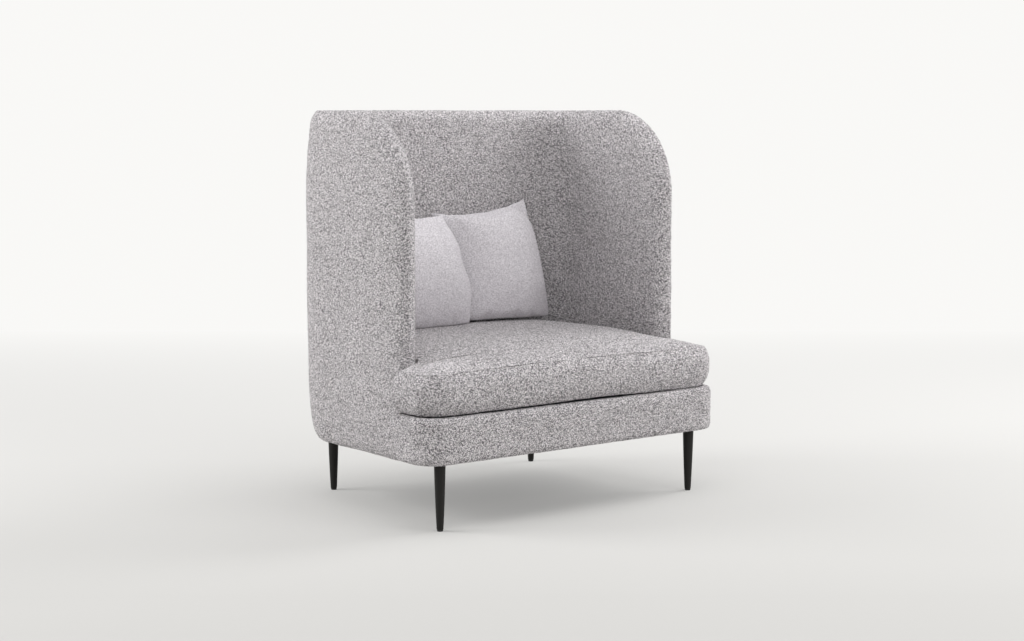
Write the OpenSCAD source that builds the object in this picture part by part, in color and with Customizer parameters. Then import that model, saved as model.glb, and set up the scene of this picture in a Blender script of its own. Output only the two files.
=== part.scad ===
// High back lounge chair: a padded wall wraps the seat on three sides, on four slim legs.
// Millimetres, +Z up. The origin is on the floor, in the middle of the chair's plan.
// The sitter faces -Y, and +X is on the right of someone who looks at the chair's front.

/* [Wall] */
// Height of the chair, floor to the top of the wall
wall_top = 1200; // [1050:5:1400]
// Drop of the wall's lower edge below the base's underside
wall_drop = 15; // [12:0.5:18]
// Distance of the wings' outer faces in from the base's ends
wing_in = 23; // [15:0.5:35]
// Depth from the wings' front edge to the back of the wall
wall_d = 623; // [580:1:760]
// Thickness of the padded wall
wall_t = 82; // [74:1:100]
// Outer plan radius where the wings turn into the back
rear_r = 190; // [150:1:230]
// Radius of the wings' upper front corner
wing_top_r = 262; // [150:1:330]
// Radius of the wings' lower front corner
wing_foot_r = 62; // [55:1:90]
// Thickness of the bent plywood core
core_t = 15; // [9:0.5:20]
// Thickness of the foam outside the core
outer_foam_t = 20; // [12:0.5:24]
// Depth of the cover's closing seam in from the wall's outer face
cover_seam_in = 12; // [8:0.5:18]
// Width of the plinth
plinth_w = 32; // [30:0.5:34]

/* [Covers] */
// Thickness of the woven cover
cover_t = 2; // [1:0.25:3]
// Thickness of the lining under the cushion and under the seat
lining_t = 1.5; // [1:0.25:2.5]

/* [Base] */
// Width across the front of the base and the cushion
front_w = 1142; // [1120:2:1560]
// Depth of the base in front of the wings
front_d = 176; // [150:1:240]
// Height of the base's underside above the floor
base_bottom = 198; // [160:1:235]
// Height of the base
base_h = 136; // [120:1:170]
// Plan radius of the front corners
front_r = 84; // [60:1:110]
// Radius of the base's upper and lower edges
base_edge_r = 20; // [12:0.5:24]
// Thickness of the foam round the base
base_foam_t = 25; // [22:0.5:35]

/* [Seat frame] */
// Thickness of the frame's rails
rail_t = 20; // [18:0.5:24]
// Height of the rails
rail_h = 98; // [85:1:105]
// Thickness of the boards that carry the front legs
leg_board_t = 18; // [12:0.5:24]
// Thickness of the pad over the webbing
deck_foam_t = 24; // [15:0.5:28]
// Width of a webbing strap
strap_w = 60; // [40:1:80]
// Thickness of a webbing strap
strap_t = 2; // [1.5:0.25:3]
// Number of straps that run front to back
long_straps = 6; // [4:1:7]
// Number of straps that run side to side
cross_straps = 4; // [3:1:5]

/* [Legs] */
// Diameter of a leg at the top
leg_top_d = 34; // [26:0.5:38]
// Diameter of a leg at the foot
leg_foot_d = 20; // [16:0.5:26]
// Distance from the base's ends to the front legs' axes
front_leg_side = 87; // [75:1:110]
// Distance from the base's front face to the front legs' axes
front_leg_in = 59; // [52:0.5:75]
// Distance from the wings' outer faces to the rear legs' axes
rear_leg_side = 148; // [130:1:240]
// Distance of the rear legs' axes outwards of the wall's middle
rear_leg_out = 3; // [0:0.5:4]
// Diameter of the threaded stud on a leg
stud_d = 10; // [8:1:12]
// Height of the glide under a leg
glide_h = 5; // [3:0.5:8]

/* [Shell bolts] */
// Thread diameter of the bolts that hold the wall to the seat frame
bolt_d = 8; // [6:1:10]
// Height of the bolts above the base's underside
bolt_up = 62; // [45:1:75]
// Distance of the side bolts from the ends of the side rails
side_bolt_in = 86.5; // [78:0.5:120]
// Distance between the bolts in the back
back_bolt_gap = 420; // [300:1:600]

/* [Seat cushion] */
// Height of the cushion's border at the front
cushion_h = 124; // [100:1:150]
// Rise of the cushion's crown above its front edge
crown_h = 54; // [30:1:70]
// Depth that the border draws in at its seams
border_draw = 13; // [6:0.5:20]
// Clearance between the cushion and the wall
cushion_fit = 1.5; // [1:0.1:4]
// Height of the cushion's foam core
cushion_core_h = 96; // [80:1:110]
// Distance of the foam core in from the cushion's outline
cushion_core_in = 30; // [24:0.5:45]

/* [Pillows] */
// Side of a pillow, corner to corner
pillow_side = 415; // [380:1:440]
// Thickness of a pillow at its middle
pillow_t = 150; // [110:1:170]
// Depth that a pillow's sides draw in between its corners
pillow_draw = 16; // [8:0.5:24]
// Depth that the left pillow's slumped side bellies out
pillow_belly = 15; // [0:0.5:24]
// Depth that a pillow's corners bend back
pillow_bend = 34; // [10:0.5:40]
// Clearance between a pillow and the wall behind it
pillow_fit = 6; // [3:0.5:9]

/* [Hidden] */

// Overrun of every cut past the face that it opens
over = 1;
// Clearance between pieces that seat on each other
seat_gap = 0.3;
// Clearance of a bolt or a leg in its hole
hole_gap = 0.5;

// Finish colours
cloth_grey = "#B4B1B2";
pillow_grey = "#C2BEC4";
lining_black = "#232325";
foam_cream = "#E6DDC3";
ply_tan = "#C9A87A";
beech_tan = "#D2B48C";
web_brown = "#6F6251";
leg_black = "#1E1D1B";
zinc_grey = "#B9BCC0";
zip_grey = "#5B5B60";

// Wall: its plan runs along the wings' straight sides, round the rear corners and across the back.
// A depth is always measured in from the wall's outer face.
wall_x = front_w / 2 - wing_in;
overall_d = wall_d + front_d + seat_gap;
wall_rear = overall_d / 2;
wall_front = wall_rear - wall_d;
wall_bottom = base_bottom - wall_drop;
edge_in = wall_t / 2;
core_depth = cover_t + outer_foam_t;
plinth_depth = edge_in - plinth_w / 2;
corner_x = wall_x - rear_r;
corner_y = wall_rear - rear_r;

// Base and seat frame
base_front = wall_front - seat_gap - front_d;
base_top = base_bottom + base_h;
neck_x = wall_x - wall_t - seat_gap;
neck_rear = wall_rear - wall_t - seat_gap;
neck_r = rear_r - wall_t - seat_gap;
ear_rear = wall_front - seat_gap;
frame_in = cover_t + base_foam_t;
frame_z = base_bottom + cover_t;
// The plinth fills the height between the frame's underside and the core
plinth_h = wall_bottom + edge_in - frame_z;
frame_front = base_front + frame_in;
frame_ear_x = front_w / 2 - frame_in;
frame_side_x = neck_x - cover_t - seat_gap;
frame_rear = neck_rear - cover_t - seat_gap;
ear_frame_rear = ear_rear - cover_t - seat_gap;
// The frame's front corners are cut off at the radius that the padding leaves
frame_r = front_r - frame_in;
rail_top = frame_z + rail_h;
block_leg = 3 * rail_t;
block_h = rail_h * 0.8;
opening_in = frame_in + rail_t / 3;

// Legs
leg_z = frame_z;
front_leg_x = front_w / 2 - front_leg_side;
front_leg_y = base_front + front_leg_in;
rear_leg_x = wall_x - rear_leg_side;
rear_leg_depth = edge_in - rear_leg_out;
// The rear legs stand under the wall, on the curve of its plan at their depth
rear_leg_r = rear_r - rear_leg_depth;
rear_leg_y = rear_leg_x > corner_x
    ? corner_y + sqrt(pow(rear_leg_r, 2) - pow(rear_leg_x - corner_x, 2))
    : wall_rear - rear_leg_depth;
leg_places = [[-front_leg_x, front_leg_y], [front_leg_x, front_leg_y],
    [-rear_leg_x, rear_leg_y], [rear_leg_x, rear_leg_y]];
stud_l = leg_board_t - seat_gap;
flange_t = stud_d * 0.15;
flange_d = stud_d * 2.2;
barrel_d = stud_d * 1.25;
// How far a leg's radius swells beyond the straight taper, halfway up
leg_swell = leg_top_d / 50;

// Shell bolts: places and directions, each as [x, y, turn about Z] at the frame's inner face
bolt_z = base_bottom + bolt_up;
side_bolt_ys = [ear_rear + side_bolt_in, corner_y - side_bolt_in];
rail_inner_x = frame_side_x - rail_t;
rail_inner_y = frame_rear - rail_t;
bolt_places = [for (side = [-1, 1]) for (y = side_bolt_ys)
    [side * rail_inner_x, y, side > 0 ? 0 : 180],
    for (end = [-1, 1]) [end * back_bolt_gap / 2, rail_inner_y, 90]];
bolt_reach = wall_x - core_depth - rail_inner_x;
bolt_head_t = bolt_d * 0.65;
bolt_head_d = bolt_d * 1.62;
washer_d = bolt_d * 2;
washer_t = bolt_d * 0.2;

// Cushion: border rows as shares of the draw and of the border's height, bottom seam first
border_shares = [[1, 0], [0.3, 0.09], [0, 0.3], [0, 0.68], [0.3, 0.92], [1, 1]];
// Rings over the top and under the bottom, as shares of the way from the middle to the seam
top_ring_shares = [0.965, 0.9, 0.78, 0.63, 0.46, 0.28, 0.12];
bottom_ring_shares = [0.66, 0.33];
cushion_bottom = base_top + seat_gap;
cushion_x = front_w / 2;
cushion_neck_x = wall_x - wall_t - cushion_fit;
cushion_rear = wall_rear - wall_t - cushion_fit;
cushion_ear_rear = wall_front - cushion_fit;
cushion_middle = [0, base_front + front_d / 2];
ear_corner_r = front_d / 40;
wing_nose = [wall_x - edge_in, wall_front + edge_in];
// The crown rises from the front edge to this share of the cushion's depth, then stays level
crown_front_share = 0.7;
crown_power = 4;

// Zip in a channel along the back of the cushion's border
zip_channel = 9;
zip_l = 1.36 * cushion_neck_x;
zip_tape_h = 26;
zip_tape_t = 0.8;
zip_coil_d = 4;
slider_l = 14;
slider_w = 9;
slider_t = 2;
zip_height_share = 0.49;
zip_z = cushion_bottom + zip_height_share * (cushion_h + crown([zip_l / 2, cushion_rear]));
zip_y = cushion_rear - zip_channel;

// Pillows: grid lines per side
pillow_lines = 21;
// Where a slumped pillow's corners lie, as shares of its side from the middle of its lower edge:
// lower left, lower right, upper right, upper left
left_corner_shares = [[-0.5, -0.01], [0.52, 0.02], [0.31, 0.87], [-0.56, 0.9]];
right_corner_shares = [[-0.5, 0], [0.51, 0], [0.3, 0.98], [-0.6, 0.88]];
// How far a pillow's left and right sides draw in
left_draws = [pillow_draw, -pillow_belly];
right_draws = [pillow_draw, pillow_draw];
// A pillow's place: the middle of its lower edge, then its turn about Z and its lean to the back
left_pillow_place = [-0.37 * cushion_neck_x, cushion_rear - 0.63 * pillow_t,
    cushion_bottom + cushion_h + 0.93 * crown_h, -9, 4];
right_pillow_place = [0.43 * cushion_neck_x, cushion_rear - 0.47 * pillow_t,
    cushion_bottom + cushion_h + 0.93 * crown_h, 0, 3];
// The left pillow lies in front of an upright plane and the right one behind it: the plane's place
// on the wall, as a share of the neck's half width, and its slope
parting_share = -0.16;
parting_slope = -0.75;

$fn = 96;

// Arc of points about a centre, both ends included
function arc(centre, r, from, to, steps) =
    [for (i = [0 : steps]) let (a = from + (to - from) * i / steps) centre + r * [cos(a), sin(a)]];

// Points along a straight line, without its last point
function run(a, b, steps) = [for (i = [0 : steps - 1]) a + (b - a) * i / steps];

function mirrored(points) = [for (i = [len(points) - 1 : -1 : 0]) [-points[i][0], points[i][1]]];

// Both sides of the chair
module each_side() {
    children();
    mirror([1, 0, 0]) children();
}

// Half disc of a rim, standing out along +X from the line x = 0, between y = -r and y = r
module half_disc(r) {
    intersection() {
        circle(r = r);
        translate([0, -r]) square([r, 2 * r]);
    }
}

// Plate of thickness 2r from x = 0 to x = reach, with a half-round rim
module rim_plate(reach, r) {
    union() {
        translate([0, -r]) square([reach - r, 2 * r]);
        translate([reach - r, 0]) half_disc(r);
    }
}

// Section through the wall, depth along X and height along Y, with its rims round above and below
module wall_section(r) {
    union() {
        translate([edge_in - r, wall_bottom + edge_in])
            square([2 * r, wall_top - wall_bottom - 2 * edge_in]);
        translate([edge_in, wall_top - edge_in]) rotate(90) half_disc(r);
        translate([edge_in, wall_bottom + edge_in]) rotate(-90) half_disc(r);
    }
}

// Turns a section drawn in depth and height into a run along the wall's back
module back_run() {
    translate([corner_x, wall_rear, 0]) rotate([90, 0, -90]) linear_extrude(2 * corner_x) children();
}

// The same round one rear corner. The section's depth counts inwards, so it is turned to a radius
module corner_run() {
    translate([corner_x, corner_y, 0]) rotate_extrude(angle = 90)
        translate([rear_r, 0]) mirror([1, 0]) children();
}

// The same along one wing, between two places
module side_run(from, to) {
    translate([wall_x, to, 0]) rotate([90, 0, 0]) linear_extrude(to - from)
        mirror([1, 0]) children();
}

// Plate in the plane of a wing, from the depth d0 to the depth d1
module wing_plate(d0, d1) {
    translate([wall_x - d1, 0, 0]) rotate([90, 0, 90]) linear_extrude(d1 - d0) children();
}

// Round wall with full half-round rims, its faces inset by skin all over
module padded_wall(skin) {
    r = edge_in - skin;
    back_run() wall_section(r);
    each_side() {
        corner_run() wall_section(r);
        side_run(wall_front + wing_top_r, corner_y) wall_section(r);
        at_wing_corner(wing_top_r, wall_top - wing_top_r, 90)
            rotate_extrude(angle = 90) rim_plate(wing_top_r - skin, r);
        at_wing_corner(wing_foot_r, wall_bottom + wing_foot_r, 180)
            rotate_extrude(angle = 90) rim_plate(wing_foot_r - skin, r);
        translate([wall_x - edge_in, wall_front + wing_top_r, wall_bottom + wing_foot_r])
            linear_extrude(wall_top - wall_bottom - wing_top_r - wing_foot_r)
                rotate(-90) rim_plate(wing_top_r - skin, r);
        translate([wall_x - edge_in, wall_front + wing_top_r, wall_bottom + wing_foot_r])
            rotate([90, 90, 0]) linear_extrude(wing_top_r - wing_foot_r)
                rim_plate(wing_foot_r - skin, r);
    }
}

// Lays a quarter turn in a wing's plane, about a corner's centre, starting at an angle from +Y
module at_wing_corner(corner_r, z, start) {
    translate([wall_x - edge_in, wall_front + corner_r, z])
        rotate([0, 90, 0]) rotate([0, 0, 90 + start]) children();
}

// Outline of a wing in its own plane, inset by rim, from its front edge to the rear corner
module wing_outline(rim) {
    top_r = wing_top_r - rim;
    foot_r = max(wing_foot_r - rim, over);
    low = wall_bottom + rim;
    high = wall_top - rim;
    front = wall_front + rim;
    polygon(concat(arc([front + foot_r, low + foot_r], foot_r, 270, 180, 12),
        arc([front + top_r, high - top_r], top_r, 180, 90, 48),
        [[corner_y, high], [corner_y, low]]));
}

// Square-edged layer of the wall between two depths, its edges inset by rim
module wall_layer(d0, d1, rim) {
    back_run() layer_section(d0, d1, rim);
    each_side() {
        corner_run() layer_section(d0, d1, rim);
        wing_plate(d0, d1) wing_outline(rim);
    }
}

module layer_section(d0, d1, rim) {
    translate([d0, wall_bottom + rim]) square([d1 - d0, wall_top - wall_bottom - 2 * rim]);
}

// One child at each shell bolt, its +X axis pointing out through the wall
module at_bolts() {
    for (place = bolt_places)
        translate([place[0], place[1], bolt_z]) rotate([0, 0, place[2]]) children();
}

// Cylinder along +X from x = from
module bar_x(d, from, length) {
    translate([from, 0, 0]) rotate([0, 90, 0]) cylinder(d = d, h = length);
}

module bolt_holes() {
    at_bolts() bar_x(bolt_d + 2 * hole_gap, -over, bolt_reach + core_t + 2 * over);
}

module at_legs(places) {
    for (place = places) translate([place[0], place[1], 0]) children();
}

module leg_holes(d) {
    at_legs(leg_places) translate([0, 0, wall_bottom - over])
        cylinder(d = d, h = frame_z - wall_bottom + over);
}

// Bent plywood core
module shell_core() {
    color(ply_tan) difference() {
        wall_layer(core_depth, core_depth + core_t, edge_in);
        bolt_holes();
        at_bolts() bar_x(washer_d + 2 * hole_gap, bolt_reach - washer_t, washer_t + over);
    }
}

// Plinth that runs under the core and takes the rear legs
module plinth_block() {
    plinth_front = wall_front + wing_foot_r;
    translate([-corner_x, wall_rear - plinth_depth - plinth_w, frame_z])
        cube([2 * corner_x, plinth_w, plinth_h]);
    each_side() {
        translate([corner_x, corner_y, frame_z]) rotate_extrude(angle = 90)
            translate([rear_r - plinth_depth - plinth_w, 0]) square([plinth_w, plinth_h]);
        translate([wall_x - plinth_depth - plinth_w, plinth_front, frame_z])
            cube([plinth_w, corner_y - plinth_front, plinth_h]);
    }
}

module shell_plinth() {
    color(ply_tan) difference() {
        plinth_block();
        at_legs([leg_places[2], leg_places[3]]) tee_nut_seat(plinth_h);
    }
}

// Hole for a leg's tee nut through a board that lies on the frame's lower level
module tee_nut_seat(board_t) {
    translate([0, 0, frame_z - over]) cylinder(d = barrel_d + 2 * hole_gap, h = board_t + 2 * over);
    translate([0, 0, frame_z + board_t - flange_t - seat_gap])
        cylinder(d = flange_d + 2 * hole_gap, h = flange_t + seat_gap + over);
}

module shell_outer_foam() {
    color(foam_cream) wall_layer(cover_t, core_depth, edge_in);
}

module shell_inner_foam() {
    color(foam_cream) difference() {
        wall_layer(core_depth + core_t, wall_t - cover_t, edge_in);
        bolt_holes();
    }
}

// Half-round foam profile that rounds the wall's whole rim
module shell_edge_roll() {
    r = edge_in - cover_t;
    top_arc_r = wing_top_r - edge_in;
    foot_arc_r = wing_foot_r - edge_in;
    color(foam_cream) difference() {
        union() {
            back_run() roll_ends(r);
            each_side() {
                corner_run() roll_ends(r);
                side_run(wall_front + wing_top_r, corner_y) translate([edge_in, wall_top - edge_in])
                    rotate(90) half_disc(r);
                side_run(wall_front + wing_foot_r, corner_y) translate([edge_in, wall_bottom + edge_in])
                    rotate(-90) half_disc(r);
                at_wing_corner(wing_top_r, wall_top - wing_top_r, 90) roll_bend(top_arc_r, r);
                at_wing_corner(wing_foot_r, wall_bottom + wing_foot_r, 180) roll_bend(foot_arc_r, r);
                translate([wall_x - edge_in, wall_front + edge_in, wall_bottom + wing_foot_r])
                    linear_extrude(wall_top - wall_bottom - wing_top_r - wing_foot_r)
                        rotate(-90) half_disc(r);
            }
        }
        plinth_block();
        leg_holes(leg_top_d + 2 * hole_gap);
    }
}

// Sections of the roll above and below the core
module roll_ends(r) {
    translate([edge_in, wall_top - edge_in]) rotate(90) half_disc(r);
    translate([edge_in, wall_bottom + edge_in]) rotate(-90) half_disc(r);
}

// Quarter turn of the roll round a wing's corner
module roll_bend(arc_r, r) {
    rotate_extrude(angle = 90) translate([arc_r, 0]) half_disc(r);
}

module wall_skin() {
    difference() {
        padded_wall(0);
        padded_wall(cover_t);
        leg_holes(leg_top_d + 2 * hole_gap);
    }
}

// Cover of the inside and the rim, sewn to the outer cover just round the rim
module shell_inner_cover() {
    color(cloth_grey) difference() {
        intersection() {
            wall_skin();
            wall_layer(cover_seam_in, wall_t + over, -over);
        }
        bolt_holes();
    }
}

module shell_outer_cover() {
    color(cloth_grey) intersection() {
        wall_skin();
        wall_layer(-over, cover_seam_in, -over);
    }
}

module shell_bolts() {
    color(zinc_grey) at_bolts() union() {
        bar_x(bolt_head_d, -washer_t - bolt_head_t, bolt_head_t);
        bar_x(bolt_d, -washer_t, bolt_reach + washer_t);
    }
}

module shell_washers() {
    color(zinc_grey) at_bolts() difference() {
        bar_x(washer_d, -washer_t, washer_t);
        bar_x(bolt_d + 2 * hole_gap, -washer_t - over, washer_t + 2 * over);
    }
}

// Tee nuts behind the core's outer face, with the bolts' threads in their barrels
module shell_tee_nuts() {
    color(zinc_grey) at_bolts() difference() {
        bar_x(washer_d, bolt_reach - washer_t, washer_t);
        bar_x(bolt_d, bolt_reach - washer_t - over, washer_t + 2 * over);
    }
}

// Section of the base, reach along X and height along Y, with its two outer edges rounded
module base_section(reach, skin) {
    r = base_edge_r;
    low = base_bottom + skin;
    high = base_top - skin;
    far = reach - skin;
    polygon(concat([[0, low]], arc([far - r, low + r], r, -90, 0, 12),
        arc([far - r, high - r], r, 0, 90, 12), [[0, high]]));
}

// The base's T-shaped upholstered body, inset by skin: a front with round corners and a neck
module base_body(skin) {
    ear_x = front_w / 2;
    round_x = ear_x - front_r;
    round_y = base_front + front_r;
    translate([-round_x, round_y, 0]) rotate([90, 0, 90]) linear_extrude(2 * round_x)
        mirror([1, 0]) base_section(front_r, skin);
    each_side() {
        translate([round_x, round_y, 0]) rotate([0, 0, -90]) rotate_extrude(angle = 90)
            base_section(front_r, skin);
        translate([round_x, ear_rear - skin, 0]) rotate([90, 0, 0])
            linear_extrude(ear_rear - skin - round_y) base_section(front_r, skin);
    }
    translate([-round_x, round_y, base_bottom + skin])
        cube([2 * round_x, ear_rear - skin - round_y, base_h - 2 * skin]);
    translate([0, 0, base_bottom + skin]) linear_extrude(base_h - 2 * skin) neck_outline(skin);
}

module neck_outline(skin) {
    x = neck_x - skin;
    rear = neck_rear - skin;
    r = neck_r - skin;
    right = concat([[x, ear_rear - skin]], arc([x - r, rear - r], r, 0, 90, 24));
    polygon(concat(right, mirrored(right)));
}

// Plan of the seat frame: a T with its front corners cut round, and drawn in by inset
module frame_plan(inset) {
    ear = frame_ear_x - inset;
    front = frame_front + inset;
    r = max(frame_r - inset, over);
    side = frame_side_x - inset;
    rear = frame_rear - inset;
    rear_corner = neck_r;
    right = concat(arc([ear - r, front + r], r, -90, 0, 12),
        [[ear, ear_frame_rear - inset], [side, ear_frame_rear - inset]],
        arc([side - rear_corner, rear - rear_corner], rear_corner, 0, 90, 12));
    polygon(concat(right, mirrored(right)));
}

// Rail, as a box between two corners in plan, trimmed by the frame's plan
module rail(low, high) {
    color(beech_tan) intersection() {
        translate([low[0], low[1], frame_z]) cube([high[0] - low[0], high[1] - low[1], rail_h]);
        translate([0, 0, frame_z - over]) linear_extrude(rail_h + 2 * over) frame_plan(0);
    }
}

module front_rail() {
    color(beech_tan) difference() {
        rail([-frame_ear_x, frame_front], [frame_ear_x, frame_front + rail_t]);
        at_legs([leg_places[0], leg_places[1]]) tee_nut_seat(leg_board_t);
    }
}

// Rail across the chair behind the ears, which also closes the neck's box at the front
module middle_rail() {
    rail([-frame_ear_x, ear_frame_rear - rail_t], [frame_ear_x, ear_frame_rear]);
}

module rear_rail() {
    color(beech_tan) difference() {
        rail([-frame_side_x + neck_r, frame_rear - rail_t], [frame_side_x - neck_r, frame_rear]);
        bolt_holes();
    }
}

module side_rail(side) {
    color(beech_tan) difference() {
        translate([side > 0 ? rail_inner_x : -frame_side_x, ear_frame_rear, frame_z])
            cube([rail_t, frame_rear - neck_r - ear_frame_rear, rail_h]);
        bolt_holes();
    }
}

module side_rail_left() { side_rail(-1); }
module side_rail_right() { side_rail(1); }

module ear_rail(side) {
    rail([side > 0 ? frame_ear_x - rail_t : -frame_ear_x, frame_front + rail_t],
        [side > 0 ? frame_ear_x : -frame_ear_x + rail_t, ear_frame_rear - rail_t]);
}

module ear_rail_left() { ear_rail(-1); }
module ear_rail_right() { ear_rail(1); }

// Glued blocks: three-sided in the neck's front corners, and cut to the curve in its rear corners
module corner_blocks() {
    color(beech_tan) each_side() {
        translate([rail_inner_x, ear_frame_rear, frame_z]) linear_extrude(block_h)
            polygon([[0, 0], [-block_leg, 0], [0, block_leg]]);
        translate([0, 0, frame_z]) linear_extrude(block_h) rear_block_plan();
    }
}

module rear_block_plan() {
    side_end = [frame_side_x, frame_rear - neck_r];
    polygon(concat([[rail_inner_x, side_end[1]]],
        arc([frame_side_x - neck_r, frame_rear - neck_r], neck_r, 0, 90, 16),
        [[frame_side_x - neck_r, rail_inner_y]]));
}

// Boards in the ears that take the front legs
module leg_boards() {
    color(ply_tan) difference() {
        each_side() translate([frame_side_x - neck_r, frame_front + rail_t, frame_z])
            cube([frame_ear_x - rail_t - frame_side_x + neck_r,
                ear_frame_rear - frame_front - 2 * rail_t, leg_board_t]);
        at_legs([leg_places[0], leg_places[1]]) tee_nut_seat(leg_board_t);
    }
}

// Height shift of a strap at a crossing, over or under
function weave(i) = (i % 2 == 0 ? 1 : -1) * (strap_t + seat_gap) / 2;

// Strap along +X from 0 to length: flat on a rail at each end, over and under what it crosses
module woven_strap(length, crossings, first) {
    half = strap_w / 2 + strap_t;
    line = concat([[0, 0], [rail_t, 0]],
        [for (i = [0 : len(crossings) - 1]) for (end = [-1, 1])
            [crossings[i] + end * half, weave(i + first)]],
        [[length - rail_t, 0], [length, 0]]);
    lift = strap_t / 2;
    rotate([90, 0, 0]) translate([0, 0, -strap_w / 2]) linear_extrude(strap_w)
        polygon(concat([for (p = line) p + [0, lift]],
            [for (i = [len(line) - 1 : -1 : 0]) line[i] - [0, lift]]));
}

web_z = rail_top + strap_t / 2;
web_long_x = [for (i = [0 : long_straps - 1])
    (i - (long_straps - 1) / 2) * 2 * (rail_inner_x - strap_w) / long_straps];
web_cross_y = [for (i = [0 : cross_straps - 1])
    ear_frame_rear + (frame_rear - neck_r - ear_frame_rear) * (i + 0.5) / cross_straps];

module seat_webbing_long() {
    start = ear_frame_rear - rail_t;
    color(web_brown) for (i = [0 : long_straps - 1])
        translate([web_long_x[i], start, web_z]) rotate([0, 0, 90])
            woven_strap(frame_rear - start, [for (y = web_cross_y) y - start], i);
}

module seat_webbing_cross() {
    color(web_brown) for (i = [0 : cross_straps - 1])
        translate([-frame_side_x, web_cross_y[i], web_z])
            woven_strap(2 * frame_side_x, [for (x = web_long_x) x + frame_side_x], i + 1);
}

deck_z = base_top - lining_t - deck_foam_t;

module deck_pad() {
    color(foam_cream) translate([0, 0, deck_z]) linear_extrude(deck_foam_t) frame_plan(0);
}

module deck_lining() {
    color(lining_black) translate([0, 0, base_top - lining_t]) linear_extrude(lining_t)
        frame_plan(0);
}

// Foam round the frame's outside, open inside and below
module base_foam() {
    color(foam_cream) difference() {
        base_body(cover_t);
        translate([0, 0, base_bottom - over]) linear_extrude(base_h + 2 * over) frame_plan(-seat_gap);
    }
}

// Cover of the base, open over the deck and turned in under the rails
module base_cover() {
    color(cloth_grey) difference() {
        base_body(0);
        base_body(cover_t);
        translate([0, 0, base_top - cover_t - over]) linear_extrude(cover_t + 2 * over)
            frame_plan(-seat_gap);
        translate([0, 0, base_bottom - over]) linear_extrude(cover_t + 2 * over)
            frame_plan(opening_in - frame_in);
        leg_holes(leg_top_d + 2 * hole_gap);
        bolt_holes();
    }
}

module bottom_lining() {
    color(lining_black) difference() {
        translate([0, 0, frame_z - lining_t]) linear_extrude(lining_t)
            frame_plan(opening_in - frame_in + seat_gap);
        leg_holes(leg_top_d + 2 * hole_gap);
    }
}

// Radius of a leg at a share of its height
function leg_radius(share) =
    (leg_foot_d + (leg_top_d - leg_foot_d) * share) / 2 + leg_swell * sin(180 * share);

// Turned leg with a threaded stud, standing on its glide
module leg(place) {
    steps = 12;
    foot_round = leg_foot_d / 10;
    tall = leg_z - glide_h;
    color(leg_black) translate([place[0], place[1], glide_h]) rotate_extrude()
        polygon(concat([[0, 0]],
            arc([leg_foot_d / 2 - foot_round, foot_round], foot_round, -90, 0, 4),
            [for (i = [1 : steps]) [leg_radius(i / steps), tall * i / steps]],
            [[stud_d / 2, tall], [stud_d / 2, tall + stud_l], [0, tall + stud_l]]));
}

module leg_front_left() { leg(leg_places[0]); }
module leg_front_right() { leg(leg_places[1]); }
module leg_rear_left() { leg(leg_places[2]); }
module leg_rear_right() { leg(leg_places[3]); }

// Tee nuts that the legs' studs screw into
module leg_tee_nuts() {
    color(zinc_grey) for (i = [0 : len(leg_places) - 1])
        translate([leg_places[i][0], leg_places[i][1], 0])
            tee_nut(i < 2 ? leg_board_t : plinth_h);
}

module tee_nut(board_t) {
    top = frame_z + board_t;
    difference() {
        union() {
            translate([0, 0, frame_z + seat_gap]) cylinder(d = barrel_d, h = board_t - seat_gap);
            translate([0, 0, top - flange_t]) cylinder(d = flange_d, h = flange_t);
        }
        translate([0, 0, frame_z - over]) cylinder(d = stud_d, h = board_t + 2 * over);
    }
}

module leg_glides() {
    glide_d = leg_foot_d * 0.9;
    color(lining_black) at_legs(leg_places) rotate_extrude()
        polygon([[0, 0], [glide_d * 0.44, 0], [glide_d / 2, glide_h * 0.3],
            [glide_d / 2, glide_h], [0, glide_h]]);
}

// Right half of the cushion's plan, drawn in by inset, from the middle of its front to the middle of
// its back. Its inner corner fits round the wing's front edge
function cushion_half(inset) = let (
    x = cushion_x - inset,
    front = base_front + inset,
    ear_r = max(ear_corner_r - inset, over),
    ear = cushion_ear_rear - inset,
    neck = cushion_neck_x - inset,
    rear = cushion_rear - inset,
    back_r = max(neck_r - inset, over),
    round_r = max(front_r - inset, over),
    zip_end = min(zip_l / 2 + zip_channel, neck - back_r * 1.05))
    concat(run([0, front], [x - round_r, front], 7),
        arc([x - round_r, front + round_r], round_r, -90, 0, 6),
        arc([x - ear_r, ear - ear_r], ear_r, 0, 90, 2),
        arc(wing_nose, edge_in + cushion_fit + inset, -90, -180, 4),
        run([neck, wing_nose[1] + edge_in], [neck, rear - back_r], 4),
        arc([neck - back_r, rear - back_r], back_r, 0, 90, 5),
        run([zip_end, rear], [0, rear], 4));

function cushion_plan(inset) = let (right = cushion_half(inset))
    concat(right, [[0, cushion_rear - inset]],
        [for (i = [len(right) - 1 : -1 : 1]) [-right[i][0], right[i][1]]]);

// Height of the cushion's top: it rises from the front and from both ends to a level crown
function crown(p) = let (
    rise_d = (cushion_rear - base_front) * crown_front_share,
    across = min(abs(p[0]) / cushion_x, 1),
    ahead = min(max(base_front + rise_d - p[1], 0) / rise_d, 1))
    crown_h * (1 - pow(across, crown_power)) * (1 - pow(ahead, crown_power));

function at_heights(points, low_share) = [for (p = points)
    [p[0], p[1], cushion_bottom + low_share * (cushion_h + crown(p))]];

function towards_middle(points, share) =
    [for (p = points) cushion_middle + (p - cushion_middle) * share];

// How far the zip's channel draws in a point of the border on the cushion's back
function channel(p, share) = let (
    near = max(1 - abs(share - zip_height_share) / 0.3, 0),
    within = min(max((zip_l / 2 + 4 * zip_channel - abs(p[0])) / (2 * zip_channel), 0), 1))
    p[1] > cushion_rear - over ? near * within * zip_channel / 0.36 : 0;

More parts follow.
